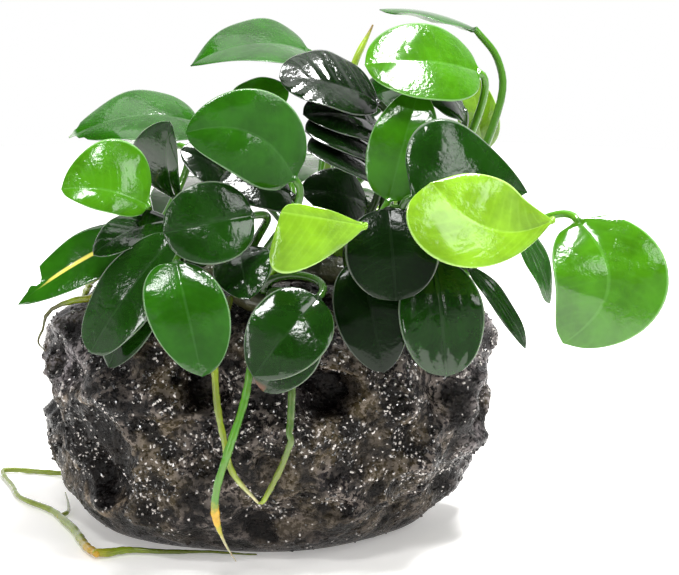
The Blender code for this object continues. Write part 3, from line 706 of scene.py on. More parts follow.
sunk = scaled(points["Normal"], times(given["Grain Radius"], SET_IN))
grain = put(scatter, "GeometryNodeMeshIcoSphere", {
    "Radius": given["Grain Radius"], "Subdivisions": 1})
set_in = put(scatter, "GeometryNodeSetPosition", {"Geometry": points["Points"], "Offset": sunk})
placed = put(scatter, "GeometryNodeInstanceOnPoints", {
    "Points": set_in.outputs[0], "Instance": grain.outputs[0],
    "Rotation": drawn((0.0, 0.0, 0.0), (ANY_TURN, ANY_TURN, ANY_TURN), TURN_SEED),
    "Scale": drawn((0.5, 0.5, 0.4), (1.9, 1.4, 1.1), given["Seed"])})
close_tree(scatter, placed.outputs[0], given["Material"])
print("grain tree:", len(scatter.nodes), "nodes")

# %% Grains and crumbs
GRAIN_FACES = 20
for name, finish, own in (
    ("stone_grains", grit_finish, {}),
    ("stone_crumbs", lava,
     {"Density": 600000.0, "Grain_Radius": 0.00060, "Clump_Size": 0.03, "Seed": 11}),
):
    piece = grow(stone, scatter, name, finish, **own)
    piece.data.shade_flat()
    keep_inside(piece)
    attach(piece, "root")
    print(name, len(piece.data.polygons) // GRAIN_FACES)

# %% [markdown]
# ## Paths over the stone
# The rhizome and the clinging roots lie on the stone, so their paths are found by dropping or
# pushing points onto the frame's own stone. A BVH tree answers both questions fast: where does a
# ray hit, and which point of the surface is nearest.

# %% The surface that the plant grows on
stone_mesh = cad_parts["stone"].data
surface = BVHTree.FromPolygons(
    [vertex.co / MM for vertex in stone_mesh.vertices],
    [tuple(face.vertices) for face in stone_mesh.polygons])
ABOVE_ALL, DOWN = 200.0, Vector((0.0, 0.0, -1.0))


def height_on(x, y):
    """The height of the stone here, or the floor's."""
    hit, _, _, _ = surface.ray_cast(Vector((x, y, ABOVE_ALL)), DOWN)
    return hit.z if hit else 0.0


def path_object(name, points, radii):
    """A curve through the points, in millimetres, whose radius a Geometry Nodes tree can read."""
    data = bpy.data.curves.new(name, "CURVE")
    data.dimensions = "3D"
    spline = data.splines.new("POLY")
    spline.points.add(len(points) - 1)
    for stop, point, radius in zip(spline.points, points, radii):
        stop.co = (*(point * MM), 1.0)
        stop.radius = radius * MM
    return show(name, data)


def grow_along(name, points, radii, tree, material, **sizes):
    path = path_object(name + "_path", points, radii)
    piece = grow(path, tree, name, material, **sizes)
    bpy.data.objects.remove(path)
    return piece


RHIZOME_RADIUS, RHIZOME_LIFT = 3.3, 0.7
AROUND = (-4, 0, 4)
RHIZOME_ROUTES = {
    "rhizome_main": (
        (-31.0, -3.0), (-20.0, -9.0), (-8.0, -9.0), (6.0, -6.0), (20.0, -8.0), (32.0, -2.0)),
    "rhizome_front": ((-3.0, -14.8), (-4.0, -21.0), (2.0, -28.0)),
    "rhizome_back": ((9.0, 0.6), (7.0, 9.0), (12.0, 19.0)),
    "rhizome_right": ((20.0, -14.8), (25.0, -18.5), (33.0, -19.5), (40.0, -15.0)),
}


def rhizome_path(route, steps):
    """Along the route, just clear of the highest stone within 4 mm."""
    points = []
    for x, y in route:
        highest = max(height_on(x + dx, y + dy) for dx in AROUND for dy in AROUND)
        points.append(Vector((x, y, highest + RHIZOME_RADIUS + RHIZOME_LIFT)))
    return smooth_path(points, steps)


rhizome = {name: rhizome_path(route, 3) for name, route in RHIZOME_ROUTES.items()}
print("rhizome pieces:", len(rhizome))

# %% [markdown]
# ## Rhizome and roots, by Geometry Nodes
# A rhizome is a creeping stem with a scar ring wherever a leaf once stood, and a root is a thin,
# slightly knobbly tube. Both follow a path, so one tree makes both: it resamples the path, swells
# the radius at every ring, sweeps a circle along it and roughens the skin a little.

# %% The tube tree
tube, given = geometry_tree(
    "grown tube", Step=0.0005, Sides=20, Ring_Spacing=0.0035, Ring_Height=0.1, Wobble=0.1,
    Knob_Size=0.002, Skin=0.00008)
SKIN_GRAIN = 1.0 / 1400.0
path = put(tube, "GeometryNodeResampleCurve", {
    "Curve": given["Geometry"], "Length": given["Step"]}, mode="LENGTH").outputs[0]
along = put(tube, "GeometryNodeSplineParameter").outputs
ring = maths("FRACT", maths("DIVIDE", along["Length"], given["Ring Spacing"]))
ring = times(ramp(ring, 0.0, 0.16, 1.0, 0.0), given["Ring Height"])
spot = put(tube, "GeometryNodeInputPosition").outputs[0]
knobs = maths("SUBTRACT", noise_on(spot, given["Knob Size"], 1.0), 0.5)
knobs = times(knobs, given["Wobble"])
radius = put(tube, "GeometryNodeInputRadius").outputs[0]
radius = times(radius, plus(1.0, plus(ring, knobs)))
noted = put(tube, "GeometryNodeStoreNamedAttribute", {
    "Geometry": path, "Name": "run", "Value": along["Factor"]}, domain="POINT").outputs[0]
circle = put(tube, "GeometryNodeCurvePrimitiveCircle", {
    "Resolution": given["Sides"], "Radius": 1.0}).outputs[0]
swept = put(tube, "GeometryNodeCurveToMesh", {
    "Curve": noted, "Profile Curve": circle, "Scale": radius, "Fill Caps": True}).outputs[0]
skin = maths("SUBTRACT", noise_on(spot, SKIN_GRAIN), 0.5)
skin = times(skin, given["Skin"])
push = scaled(put(tube, "GeometryNodeInputNormal").outputs[0], skin)
grown = put(tube, "GeometryNodeSetPosition", {"Geometry": swept, "Offset": push}).outputs[0]
close_tree(tube, grown, given["Material"])
print("tube tree:", len(tube.nodes), "nodes")

# %% [markdown]
# ### The rhizome's bark
# Dark green-brown, in patches, and a little fibrous. The stem is thinner towards both of its ends.

# %% Rhizome pieces
bark, shader, place = new_finish(
    "rhizome bark", Roughness=0.42, Coat_Weight=0.6, Coat_Roughness=0.08)
share = drifting(place, 0.004, 0.6)
color = blend(share, rgb(0.012, 0.022, 0.005), rgb(0.050, 0.048, 0.014))
feed(shader, Base_Color=color)
bump(shader, times(speckles(place, 0.5, 3.0), 0.25), 0.8)

for name, route in RHIZOME_ROUTES.items():
    points = rhizome_path(route, 8)
    last = len(points) - 1
    radii = [RHIZOME_RADIUS * min(1.0, 0.62 + 0.08 * min(k, last - k)) for k in range(last + 1)]
    piece = grow_along("creeping_" + name, points, radii, tube, bark, Sides=28, Ring_Height=0.09)
    stand_in_for(piece, name)
    print(piece.name, len(piece.data.polygons), "faces")

# %% [markdown]
# ## The leaves
# Every leaf is one growth: a stalk that rises from the rhizome and flattens into a thick, glossy
# blade. The first table is the frame's own, so each leaf sits where its node is. The second holds
# what only the finished leaves have: a finish of their own, waves along the margins, pleats, ridges
# and bites. A blade is a sheet over two numbers: t from its base to its tip and s across it, from
# one margin to the other.

# %% The table of leaves
YOUNG, BRIGHT, GREEN, DARK = "young", "bright", "green", "dark"
BOW_TURN, STALK_LEAN = 0.5, 0.75


@dataclass
class Leaf:
    """bow swings the midrib sideways and arch lifts it; fold and curl raise or drop the margins;
    skew makes one half wider and shear slides it towards the tip; neck and point narrow the base
    and the tip; foot is the stalk's place on the rhizome."""

    base: tuple
    tip: tuple
    face: tuple
    width: float
    foot: tuple
    bow: float = 0.0
    arch: float = 2.0
    fold: float = 0.12
    curl: float = -0.10
    skew: float = 0.0
    point: float = 0.62
    neck: float = 0.46
    shear: float = 0.0
    rise: float = 10.0
    reach: float = 8.0
    via: tuple = ()
    color: str = DARK


LEAVES = {  # base, tip, face, width and foot, then what differs from the plain leaf
    "leaf_top_left": Leaf(
        (9.5, 10, 106.5), (-16.5, 4, 104.5), (0, -0.4, 0.92), 18.5, ("back", 0.18), arch=4.0,
        fold=0.2, point=0.9, color=GREEN),
    "leaf_top_dark": Leaf(
        (24.5, -14, 99.5), (3.5, -20, 106), (-0.15, -0.55, 0.82), 18, ("main", 0.89), skew=-0.1,
        rise=16, point=0.5),
    "leaf_broad_left": Leaf(
        (7, -34, 87), (-15.5, -38, 97.5), (-0.1, -0.91, 0.40), 19, ("front", 0.62), bow=-5.0,
        color=GREEN),
    "leaf_behind_broad": Leaf(
        (-8, 8, 90), (5, 6, 99.5), (0, -0.75, 0.66), 13, ("main", 0.48), color=BRIGHT),
    "leaf_high_left": Leaf(
        (-14, -5, 93.3), (-42, -11, 91.3), (-0.1, -0.5, 0.86), 18, ("main", 0.36), arch=4.0,
        point=0.85, color=GREEN),
    "leaf_bright_left": Leaf(
        (-24, -28, 80), (-42, -30, 84), (-0.1, -0.85, 0.52), 16.5, ("main", 0.15), bow=-1.0,
        skew=-0.42, via=((-25, -15, 78), (-25, -22, 80.5)), color=BRIGHT),
    "leaf_folded_left": Leaf(
        (-19, -15, 79), (-19.5, -22, 97), (-0.5, -0.85, 0.1), 12.5, ("main", 0.19), skew=0.5),
    "leaf_round_left": Leaf(
        (-1.5, -37, 80), (-20, -41, 77), (-0.1, -0.93, 0.35), 17.5, ("front", 0.34), arch=1.5,
        point=0.5),
    "leaf_bitten": Leaf(
        (-27, -9, 70), (-53, -20, 56.5), (-0.3, -0.8, 0.5), 12.5, ("main", 0.03), bow=-0.4,
        point=0.8, reach=4, color=GREEN),
    "leaf_grey_left": Leaf(
        (-20, -17, 74.5), (-36, -26, 69), (-0.3, -0.6, 0.74), 11.5, ("main", 0.31), reach=5,
        rise=8),
    "leaf_long_left": Leaf(
        (-18.5, -28, 73.5), (-36.3, -34, 49.6), (-0.45, -0.85, 0.3), 15, ("main", 0.27),
        point=0.48),
    "leaf_under_long": Leaf(
        (-21, -24, 66), (-33, -29, 45), (-0.45, -0.85, 0.3), 13, ("main", 0.23), rise=5),
    "leaf_front_left": Leaf(
        (-17.5, -42, 71.5), (-12, -50, 49), (0.05, -0.92, 0.38), 17, ("front", 0.5),
        via=((-8.5, -26, 72.5), (-13.5, -35, 76)), shear=0.22, color=GREEN),
    "leaf_front_centre": Leaf(
        (12, -43, 64), (-1.5, -50, 49), (0, -0.9, 0.43), 17, ("front", 0.87), arch=2.2, rise=6),
    "leaf_brown_spot": Leaf(
        (9, -39, 58), (0.5, -44, 44), (0, -0.9, 0.43), 14.5, ("front", 1.0), rise=3, reach=5),
    "leaf_tier_upper": Leaf(
        (25, -12, 93.5), (8.5, -22, 98.5), (-0.1, -0.6, 0.8), 15, ("main", 0.855)),
    "leaf_tier_middle": Leaf(
        (24.5, -14, 89), (9, -25, 95.5), (-0.1, -0.6, 0.8), 15, ("main", 0.82)),
    "leaf_tier_lower": Leaf(
        (24, -16, 84.5), (9.5, -28, 92), (-0.1, -0.6, 0.8), 15, ("main", 0.78)),
    "leaf_upright_right": Leaf(
        (26.5, -30, 81.5), (33, -22, 104), (-0.05, -0.95, 0.3), 14.5, ("right", 0.13),
        via=((21.8, -23, 70), (23.8, -29, 76)), color=GREEN),
    "leaf_top_right": Leaf(
        (46, -14, 106), (21.5, -22, 109), (0, -0.7, 0.71), 20.5, ("main", 0.96), arch=2.5,
        point=0.52, rise=16, color=BRIGHT),
    "leaf_arching": Leaf(
        (46, 4, 112.5), (25, 7, 116.5), (0, 0.2, 0.97), 15, ("main", 1.0), arch=1.5, curl=-0.3,
        via=((45, 1, 80), (51.7, 3, 97), (50.9, 4, 106)), color=BRIGHT),
    "leaf_young_back": Leaf(
        (48, 9, 84.5), (45, 7, 102), (0.1, -0.95, 0.3), 9.5, ("main", 0.74), rise=14, color=YOUNG),
    "leaf_grey_right": Leaf(
        (31, -38, 84), (55.5, -29, 83), (0.1, -0.88, 0.47), 26, ("right", 0.45), bow=2.2,
        point=1.1, reach=5, skew=0.1),
    "leaf_young_right": Leaf(
        (60.4, -38, 79.3), (34.9, -44, 88.5), (0, -0.88, 0.47), 21, ("right", 0.74), bow=6.5,
        via=((41, -24.5, 72), (51.5, -33.5, 77)), point=0.42, neck=0.95, shear=0.45, color=YOUNG),
    "leaf_far_right": Leaf(
        (66, -30, 77.5), (63, -37, 52.5), (0.15, -0.8, 0.58), 24.5, ("right", 0.93), bow=7.2,
        arch=5.0, skew=0.05, color=BRIGHT),
    "leaf_young_centre": Leaf(
        (21.6, -47, 80), (4.4, -49, 83.4), (-0.1, -0.95, 0.3), 14.5, ("front", 0.74),
        via=((8, -33, 73), (17, -43, 79)), skew=0.7, point=0.3, neck=0.9, shear=0.2, color=YOUNG),
    "leaf_round_centre": Leaf(
        (26.3, -37.5, 81.7), (27.9, -44, 63.5), (0, -0.75, 0.66), 19.5, ("right", 0.3), arch=1.5,
        point=0.5, via=((27.5, -24.5, 73), (29.5, -33.5, 80))),
    "leaf_pointed_centre": Leaf(
        (20.5, -35, 70), (25.5, -42, 47.5), (0, -0.92, 0.38), 15.5, ("right", 0.0), reach=5),
    "leaf_streaked_right": Leaf(
        (36, -36, 70), (38.5, -43, 47), (0.1, -0.9, 0.4), 18, ("right", 0.6), point=0.5),
    "leaf_narrow_right": Leaf(
        (43.9, -26, 66.1), (56, -27, 48.6), (0.6, -0.75, 0.3), 5, ("right", 0.84), rise=4,
        reach=3),
    "leaf_pale_right": Leaf(
        (53, -12, 74), (62, -13, 55), (0.75, -0.6, 0.25), 8, ("right", 1.0), color=GREEN),
    "leaf_shaded_centre": Leaf(
        (-4.5, -29, 71), (-2.5, -38.5, 62.5), (-0.2, -0.8, 0.55), 13, ("front", 0.66), rise=4,
        reach=3),
    "leaf_shaded_left": Leaf(
        (-5, -18, 82), (-17.4, -23, 90.8), (-0.2, -0.6, 0.77), 13.5, ("main", 0.42)),
    "leaf_under_broad": Leaf(
        (6, -22, 81), (-9, -29, 85), (-0.1, -0.7, 0.7), 13, ("main", 0.53)),
    "leaf_behind_top": Leaf(
        (20, 2, 95), (31, 0, 100), (0, -0.6, 0.8), 11, ("back", 0.0)),
    "leaf_under_top": Leaf(
        (43, -10, 97), (33, -15, 102), (0, -0.6, 0.8), 12.5, ("main", 0.925)),
    "leaf_inner_right": Leaf(
        (22.1, -1, 74.8), (7.7, -8, 79.2), (0, -0.8, 0.6), 12.5, ("main", 0.7)),
    "leaf_back_left": Leaf(
        (-20, 18, 84), (-38, 26, 78), (-0.4, 0.5, 0.76), 18, ("main", 0.07), color=GREEN),
    "leaf_back_low_left": Leaf(
        (-12, 28, 74), (-25.3, 42, 60.4), (-0.3, 0.8, 0.5), 19, ("back", 0.6)),
    "leaf_back_middle": Leaf(
        (4, 30, 80), (2, 46, 68), (0, 0.75, 0.66), 19, ("back", 0.75), color=GREEN),
    "leaf_back_high": Leaf(
        (18, 22, 96), (16, 42, 92), (0, 0.4, 0.92), 19, ("back", 0.46), color=GREEN),
    "leaf_back_right": Leaf(
        (32, 20, 84), (46, 32, 76), (0.3, 0.6, 0.74), 18, ("back", 0.3), color=GREEN),
    "leaf_back_low_right": Leaf(
        (24, 30, 70), (30, 42, 54), (0.2, 0.85, 0.48), 17, ("back", 0.96)),
}


@dataclass
class Look:
    """What makes one leaf differ: its finish, and waves along its margins, pleats across it and
    ridges along it, in mm. A bite is its side, its place along the blade, its length and depth."""

    finish: str = ""
    waves: float = 0.25
    pleats: float = 0.0
    ridges: float = 0.0
    bites: tuple = ()


LOOKS = {
    # deep shade and in the shade: painted shade on leaves among and under the others
    "leaf_top_dark": Look("deep", pleats=0.32),
    "leaf_tier_upper": Look("deep", waves=0.05),
    "leaf_tier_middle": Look("deep", waves=0.05),
    "leaf_tier_lower": Look("deep", waves=0.05),
    "leaf_under_broad": Look("deep"),
    "leaf_shaded_left": Look("deep"),
    "leaf_inner_right": Look("in the shade"),
    "leaf_round_centre": Look("in the shade", waves=0.1),
    "leaf_pointed_centre": Look("in the shade"),
    "leaf_shaded_centre": Look(waves=0.5, ridges=0.15),
    "leaf_streaked_right": Look(ridges=0.9),
    "leaf_narrow_right": Look(ridges=0.3),
    "leaf_pale_right": Look(ridges=0.4),
    "leaf_grey_left": Look(pleats=0.12),
    "leaf_grey_right": Look(waves=0.5),
    "leaf_bitten": Look("yellow rib", bites=((1, 0.80, 0.05, 0.8), (1, 0.93, 0.08, 0.6))),
    "leaf_high_left": Look("frayed tip", bites=(
        (-1, 0.90, 0.020, 0.25), (-1, 0.96, 0.025, 0.6),
        (1, 0.93, 0.018, 0.3), (1, 0.975, 0.02, 0.5))),
    "leaf_arching": Look("green"),
    "leaf_brown_spot": Look("brown tip"),
    "leaf_broad_left": Look(waves=0.08),
    "leaf_round_left": Look(waves=0.08),
    "leaf_far_right": Look(waves=0.1),
    "leaf_top_right": Look(waves=0.1),
    "leaf_upright_right": Look("light green"),
    "leaf_behind_broad": Look("light green"),
}
print("leaves:", len(LEAVES), "- with a look of their own:", len(LOOKS))

# %% [markdown]
# ### The blade as a function
# The frame's blades are coarse, so the same function is used here with more in it: the crease
# under the midrib is rounded, the margin waves a little, the tip ends in a short point, and the
# sheet is thick in the middle and thin at its rim, with a groove above the midrib and a rib below.

# %% Blade
THICKNESS = 0.42
CREASE_ROUNDING, CREASE_DEPTH = 0.004, 0.063
GROOVE_DEPTH, GROOVE_WIDTH = 0.10, 0.35
RIB_HEIGHT, RIB_AT_TIP, RIB_WIDTH = 0.75, 0.08, 0.6
TIP_SHARPNESS = 0.012
STALK_RADIUS, STALK_JOINT_RADIUS = 0.95, 0.8


class Blade:
    """The middle layer of a leaf's blade, and its two faces."""

    def __init__(self, leaf, look, seed):
        self.leaf, self.look = leaf, look
        self.base, self.tip = Vector(leaf.base), Vector(leaf.tip)
        self.chord = self.tip - self.base
        along = self.chord.normalized()
        face = Vector(leaf.face).normalized()
        self.face = (face - along * face.dot(along)).normalized()
        self.side = along.cross(self.face)
        draw = random.Random(seed)
        self.waves = [(draw.uniform(1.0, 2.4), draw.uniform(0.0, 6.28)) for _ in range(2)]

    def half_width(self, t):
        neck, point = self.leaf.neck, self.leaf.point
        peak = neck / (neck + point)
        shape = (t / peak) ** neck * ((1 - t) / (1 - peak)) ** point
        return self.leaf.width / 2 * shape * (1.0 - math.exp(-(1 - t) / TIP_SHARPNESS))

    def middle(self, t):
        bent = self.face * self.leaf.arch - self.side * self.leaf.bow
        return self.base + self.chord * t + bent * (4 * t * (1 - t))

    def axes(self, t):
        sideways = self.side * self.leaf.bow * BOW_TURN
        along = (self.chord + (self.face * self.leaf.arch - sideways) * (4 - 8 * t)).normalized()
        face = (self.face - along * self.face.dot(along)).normalized()
        return along, face, along.cross(face)

    def reach(self, t, s):
        """From the midrib to the margin on the side that s is on."""
        reach = max(self.half_width(t), STALK_JOINT_RADIUS * max(0.0, 1.0 - t * 8))
        for half, place, length, depth in self.look.bites:
            if half * s > 0:
                reach *= 1 - depth * math.exp(-(((t - place) / length) ** 4))
        return reach * (1 + self.leaf.skew * (1 if s < 0 else -1))

    def lift(self, t, s):
        """How far the middle layer stands out of the flat sheet."""
        bent = math.sqrt(s * s + CREASE_ROUNDING) - CREASE_DEPTH
        rate, phase = self.waves[s > 0]
        lift = self.reach(t, s) * (self.leaf.fold * bent + self.leaf.curl * s * s)
        lift += self.look.waves * math.sin(math.tau * rate * t + phase) * s * s * min(1.0, 4 * t)
        inner = 4 * abs(s) * (1 - abs(s)) * min(1.0, 5 * t * (1 - t))
        lift += self.look.pleats * math.sin(math.tau * (7 * t - 1.6 * abs(s))) * inner
        ridges = math.sin(math.tau * (2.6 * abs(s) + 0.3 * math.sin(5 * t)))
        return lift + self.look.ridges * ridges * inner

    def layer(self, t, s, upper):
        """Half the thickness towards this face, with the groove above and the rib below."""
        half = THICKNESS / 2 * math.sqrt(max(0.0, 1.0 - s**6)) * (1.0 - 0.5 * t)
        off = s * self.reach(t, s)
        if upper:
            return half - GROOVE_DEPTH * math.exp(-((off / GROOVE_WIDTH) ** 2)) * (1 - t)
        rib = RIB_HEIGHT * (1 - t) ** 1.5 + RIB_AT_TIP
        return -half - rib * math.exp(-((off / RIB_WIDTH) ** 2))

    def point(self, t, s, upper):
        along, face, side = self.axes(t)
        rise = self.lift(t, s) + self.layer(t, s, upper)
        outwards = side - along * self.leaf.shear
        return self.middle(t) + outwards * self.reach(t, s) * s + face * rise


print("blade thickness:", THICKNESS, "mm")

# %% [markdown]
# ### Stalk and skin
# The stalk leaves the rhizome in a small sheath, narrows, and turns so that its upper side meets
# the blade's upper face. Rings run from its foot to the tip of the blade, and the first rings of
# the blade are blended from round to flat, so that the two are one skin.

# %% Leaf skin
HALF_COLUMNS, BLADE_ROWS, STALK_ROWS = 10, 46, 20
CROWDED_COLUMNS, CROWDED_ROWS = 0.115, 0.135
SHEATH_HEIGHT, SHEATH_LENGTH, FOOT_DEPTH = 0.5, 0.13, 0.9
BLADE_BLEND = 0.035
halves = [k / HALF_COLUMNS for k in range(HALF_COLUMNS + 1)]
halves = [h - CROWDED_COLUMNS * math.sin(math.tau * h) for h in halves]
UPPER = [-h for h in reversed(halves)] + halves[1:]
RING = [(s, True) for s in UPPER] + [(s, False) for s in reversed(UPPER[1:-1])]


def along_path(path, share):
    """The point at this share of the path, and the direction there."""
    place = share * (len(path) - 1)
    low = min(int(place), len(path) - 2)
    return path[low].lerp(path[low + 1], place - low), (path[low + 1] - path[low]).normalized()


def bezier(a, b, c, d, t):
    u = 1.0 - t
    return a * u**3 + b * (3 * u * u * t) + c * (3 * u * t * t) + d * t**3


def stalk_path(leaf, blade):
    piece, share = leaf.foot
    centre, axis = along_path(rhizome["rhizome_" + piece], share)
    towards = Vector(leaf.via[0] if leaf.via else leaf.base) - centre
    towards.z = 0.0
    leaving = Vector((0.0, 0.0, 1.0)) + towards.normalized() * STALK_LEAN
    leaving = (leaving - axis * leaving.dot(axis)).normalized()
    start = centre + leaving * (RHIZOME_RADIUS - FOOT_DEPTH)
    if leaf.via:
        path = smooth_path([start, *(Vector(point) for point in leaf.via), blade.base], 8)
        return [along_path(path, k / STALK_ROWS)[0] for k in range(STALK_ROWS + 1)]
    arriving, _, _ = blade.axes(0.0)
    handles = start + leaving * leaf.rise, blade.base - arriving * leaf.reach
    return [bezier(start, *handles, blade.base, k / STALK_ROWS) for k in range(STALK_ROWS + 1)]


def carried_normals(along, first):
    """Normals that turn as little as the path lets them."""
    normals = [(first - along[0] * first.dot(along[0])).normalized()]
    for before, after in zip(along, along[1:]):
        normal = before.rotation_difference(after) @ normals[-1]
        normals.append((normal - after * normal.dot(after)).normalized())
    return normals


def round_ring(centre, side, normal, radius):
    count = len(RING)
    angles = [math.pi - math.tau * k / count for k in range(count)]
    return [centre + (side * math.cos(a) + normal * math.sin(a)) * radius for a in angles]


def leaf_rings(leaf, blade):
    """The rings, and for each point how far across, how far along, and which face."""
    path = stalk_path(leaf, blade)
    along = tangents(path)
    along[-1], face, _ = blade.axes(0.0)
    normals = carried_normals(along[::-1], face)[::-1]
    rings, places = [], []
    for k in range(STALK_ROWS):
        share = k / STALK_ROWS
        radius = STALK_RADIUS + (STALK_JOINT_RADIUS - STALK_RADIUS) * share
        radius += SHEATH_HEIGHT * math.exp(-((share / SHEATH_LENGTH) ** 2))
        rings.append(round_ring(path[k], along[k].cross(normals[k]), normals[k], radius))
        places += [(s, share - 1.0, 0.0) for s, _ in RING]
    for k in range(BLADE_ROWS):
        x = k / BLADE_ROWS
        t = x - CROWDED_ROWS * math.sin(math.tau * x)
        _, face, side = blade.axes(t)
        flat = [blade.point(t, s, upper) for s, upper in RING]
        wrapped = round_ring(blade.middle(t), side, face, STALK_JOINT_RADIUS)
        share = min(1.0, t / BLADE_BLEND)
        share = share * share * (3 - 2 * share)
        rings.append([a.lerp(b, share) for a, b in zip(wrapped, flat)])
        places += [(s, t, 1.0 if upper else -1.0) for s, upper in RING]
    places.append((0.0, 1.0, 0.0))
    return rings, places


print("points in a ring:", len(RING), "- rings in a leaf:", STALK_ROWS + BLADE_ROWS)

# %% [markdown]
# ### The wet leaf finish
# A leaf's skin is smooth and waxy, and here it is also wet. The Principled shader's coat is the
# wetness, clear and even, and gives the hard glints. The skin below shines too, but it is raised
# in slow swells and, in patches, in fine grain, so there the white breaks up into speckles.
# The colour drifts between two greens, the midrib and the veins are paler, the rim is a thin pale
# line of painted rim light, and the lower face is duller. Leaves among and under the others take a
# far darker green, painted shade. Some leaves have a mark more, such as a brown tip.

# %% Leaf finishes
def shaded(color, factor, towards=(1.0, 1.0, 1.0), share=0.0):
    """The colour made darker or lighter by a factor, and mixed with a share of another."""
    return rgb(*[c * factor * (1 - share) + t * share for c, t in zip(color, towards)])


def leaf_finish(name, body, veined=0.02, ribbed=0.1, stalk=0.1, gloss=0.42, mark=None):
    """A wet leaf. mark paints one more thing, given the colour, across and along."""
    material, shader, place = new_finish(
        name, Specular_IOR_Level=gloss, Coat_Weight=0.25, Coat_Roughness=0.04, Coat_IOR=1.4,
        Subsurface_Weight=0.1, Subsurface_Scale=0.001, Subsurface_Radius=(0.5, 1.0, 0.15))
    blade = noted_on(shader, "blade", "Vector")
    marks = use_group(veins, Blade=blade)
    broad = drifting(place, 0.009, 0.8)
    color = blend(broad, shaded(body, 0.72), shaded(body, 1.2))
    color = tint(color, shaded(body, 2.0, share=0.03), marks["Veins"], veined)
    color = tint(color, shaded(body, 2.0, share=0.06), marks["Midrib"], ribbed)
    # painted rim light: a thin pale line along the margin
    color = tint(color, shaded(body, 2.2, share=0.15), marks["Rim"], 0.55)
    if mark:
        across, along, _ = xyz(blade)
        color = mark(color, across, along)
    underside = shaded(body, 1.6, (0.4, 0.6, 0.3), 0.05)
    color = tint(color, underside, marks["Underside"], 0.8)
    color = tint(color, shaded(body, 1.3, (0.12, 0.30, 0.02), stalk), marks["Stalk"])
    wet = use_group(wet_skin, Place=place, Swell=0.12, Speckle=0.09, Speckle_Cover=0.46)
    feed(shader, Base_Color=color, Roughness=ramp(wet["Speckled"], 0.0, 1.0, 0.10, 0.17))
    bump(shader, plus(wet["Height"], times(marks["Veins"], -0.006)))
    return material


def yellow_rib(color, across, along):
    band = ramp(maths("ABSOLUTE", across), 0.04, 0.10, 1.0, 0.0)
    return tint(color, rgb(0.62, 0.55, 0.10), band, ramp(along, 0.85, 0.65))


def frayed_tip(color, across, along):
    return tint(color, rgb(0.42, 0.46, 0.40), ramp(along, 0.93, 0.97), 0.6)


def brown_tip(color, across, along):
    shares = ramp(along, 0.90, 0.96), ramp(across, -0.2, 0.2)
    return tint(color, rgb(0.10, 0.035, 0.010), *shares)


# the deep shade body: the leaf green made far darker for leaves among and under the others, painted
# shade
BODIES = {
    "deep": (0.0022, 0.0085, 0.0013), DARK: (0.005, 0.028, 0.0015), GREEN: (0.012, 0.070, 0.002),
    "light green": (0.022, 0.105, 0.002), BRIGHT: (0.038, 0.145, 0.003),
    YOUNG: (0.145, 0.290, 0.012)}
FINISHES = {  # the colour of the body, and what differs from the plain finish
    "deep": ("deep", {"ribbed": 0.05, "gloss": 0.30}),
    "in the shade": ("deep", {"ribbed": 0.03, "gloss": 0.12}),
    DARK: (DARK, {}),
    GREEN: (GREEN, {"stalk": 0.3}),
    "light green": ("light green", {"stalk": 0.3}),
    BRIGHT: (BRIGHT, {"veined": 0.06, "ribbed": 0.2, "stalk": 0.3}),
    YOUNG: (YOUNG, {"veined": 0.08, "ribbed": 0.2, "stalk": 0.3}),
    "frayed tip": (GREEN, {"mark": frayed_tip}),
    "yellow rib": (GREEN, {"mark": yellow_rib}),
    "brown tip": (DARK, {"mark": brown_tip}),
}
finishes = {name: leaf_finish("wet leaf, " + name, BODIES[body], **own)
            for name, (body, own) in FINISHES.items()}
print("leaf finishes:", ", ".join(finishes))

# %% Leaf pieces
FIRST_SEED = 100
for number, (name, leaf) in enumerate(LEAVES.items()):
    look = LOOKS.get(name, Look())
    blade = Blade(leaf, look, FIRST_SEED + number)
    rings, places = leaf_rings(leaf, blade)
    points, faces = loft(rings, blade.middle(1.0))
    finish = finishes[look.finish or leaf.color]
    piece = make_piece("grown_" + name, points, faces, finish, blade=places)
    stand_in_for(piece, name)
print("leaf pieces:", len(LEAVES))

# %% [markdown]
# ## Roots
# The roots of an anubias are green where light reaches them and turn yellow and cream towards their
# growing ends. The front ones hang free of the stone, others cling to it, and one has wandered out
# over the floor. The tube tree grows them along their routes and notes how far along each point
# lies, so that colour and thickness can change with the length. Where a root grows out of another
# one, its route starts or ends inside that one, so that no gap shows.

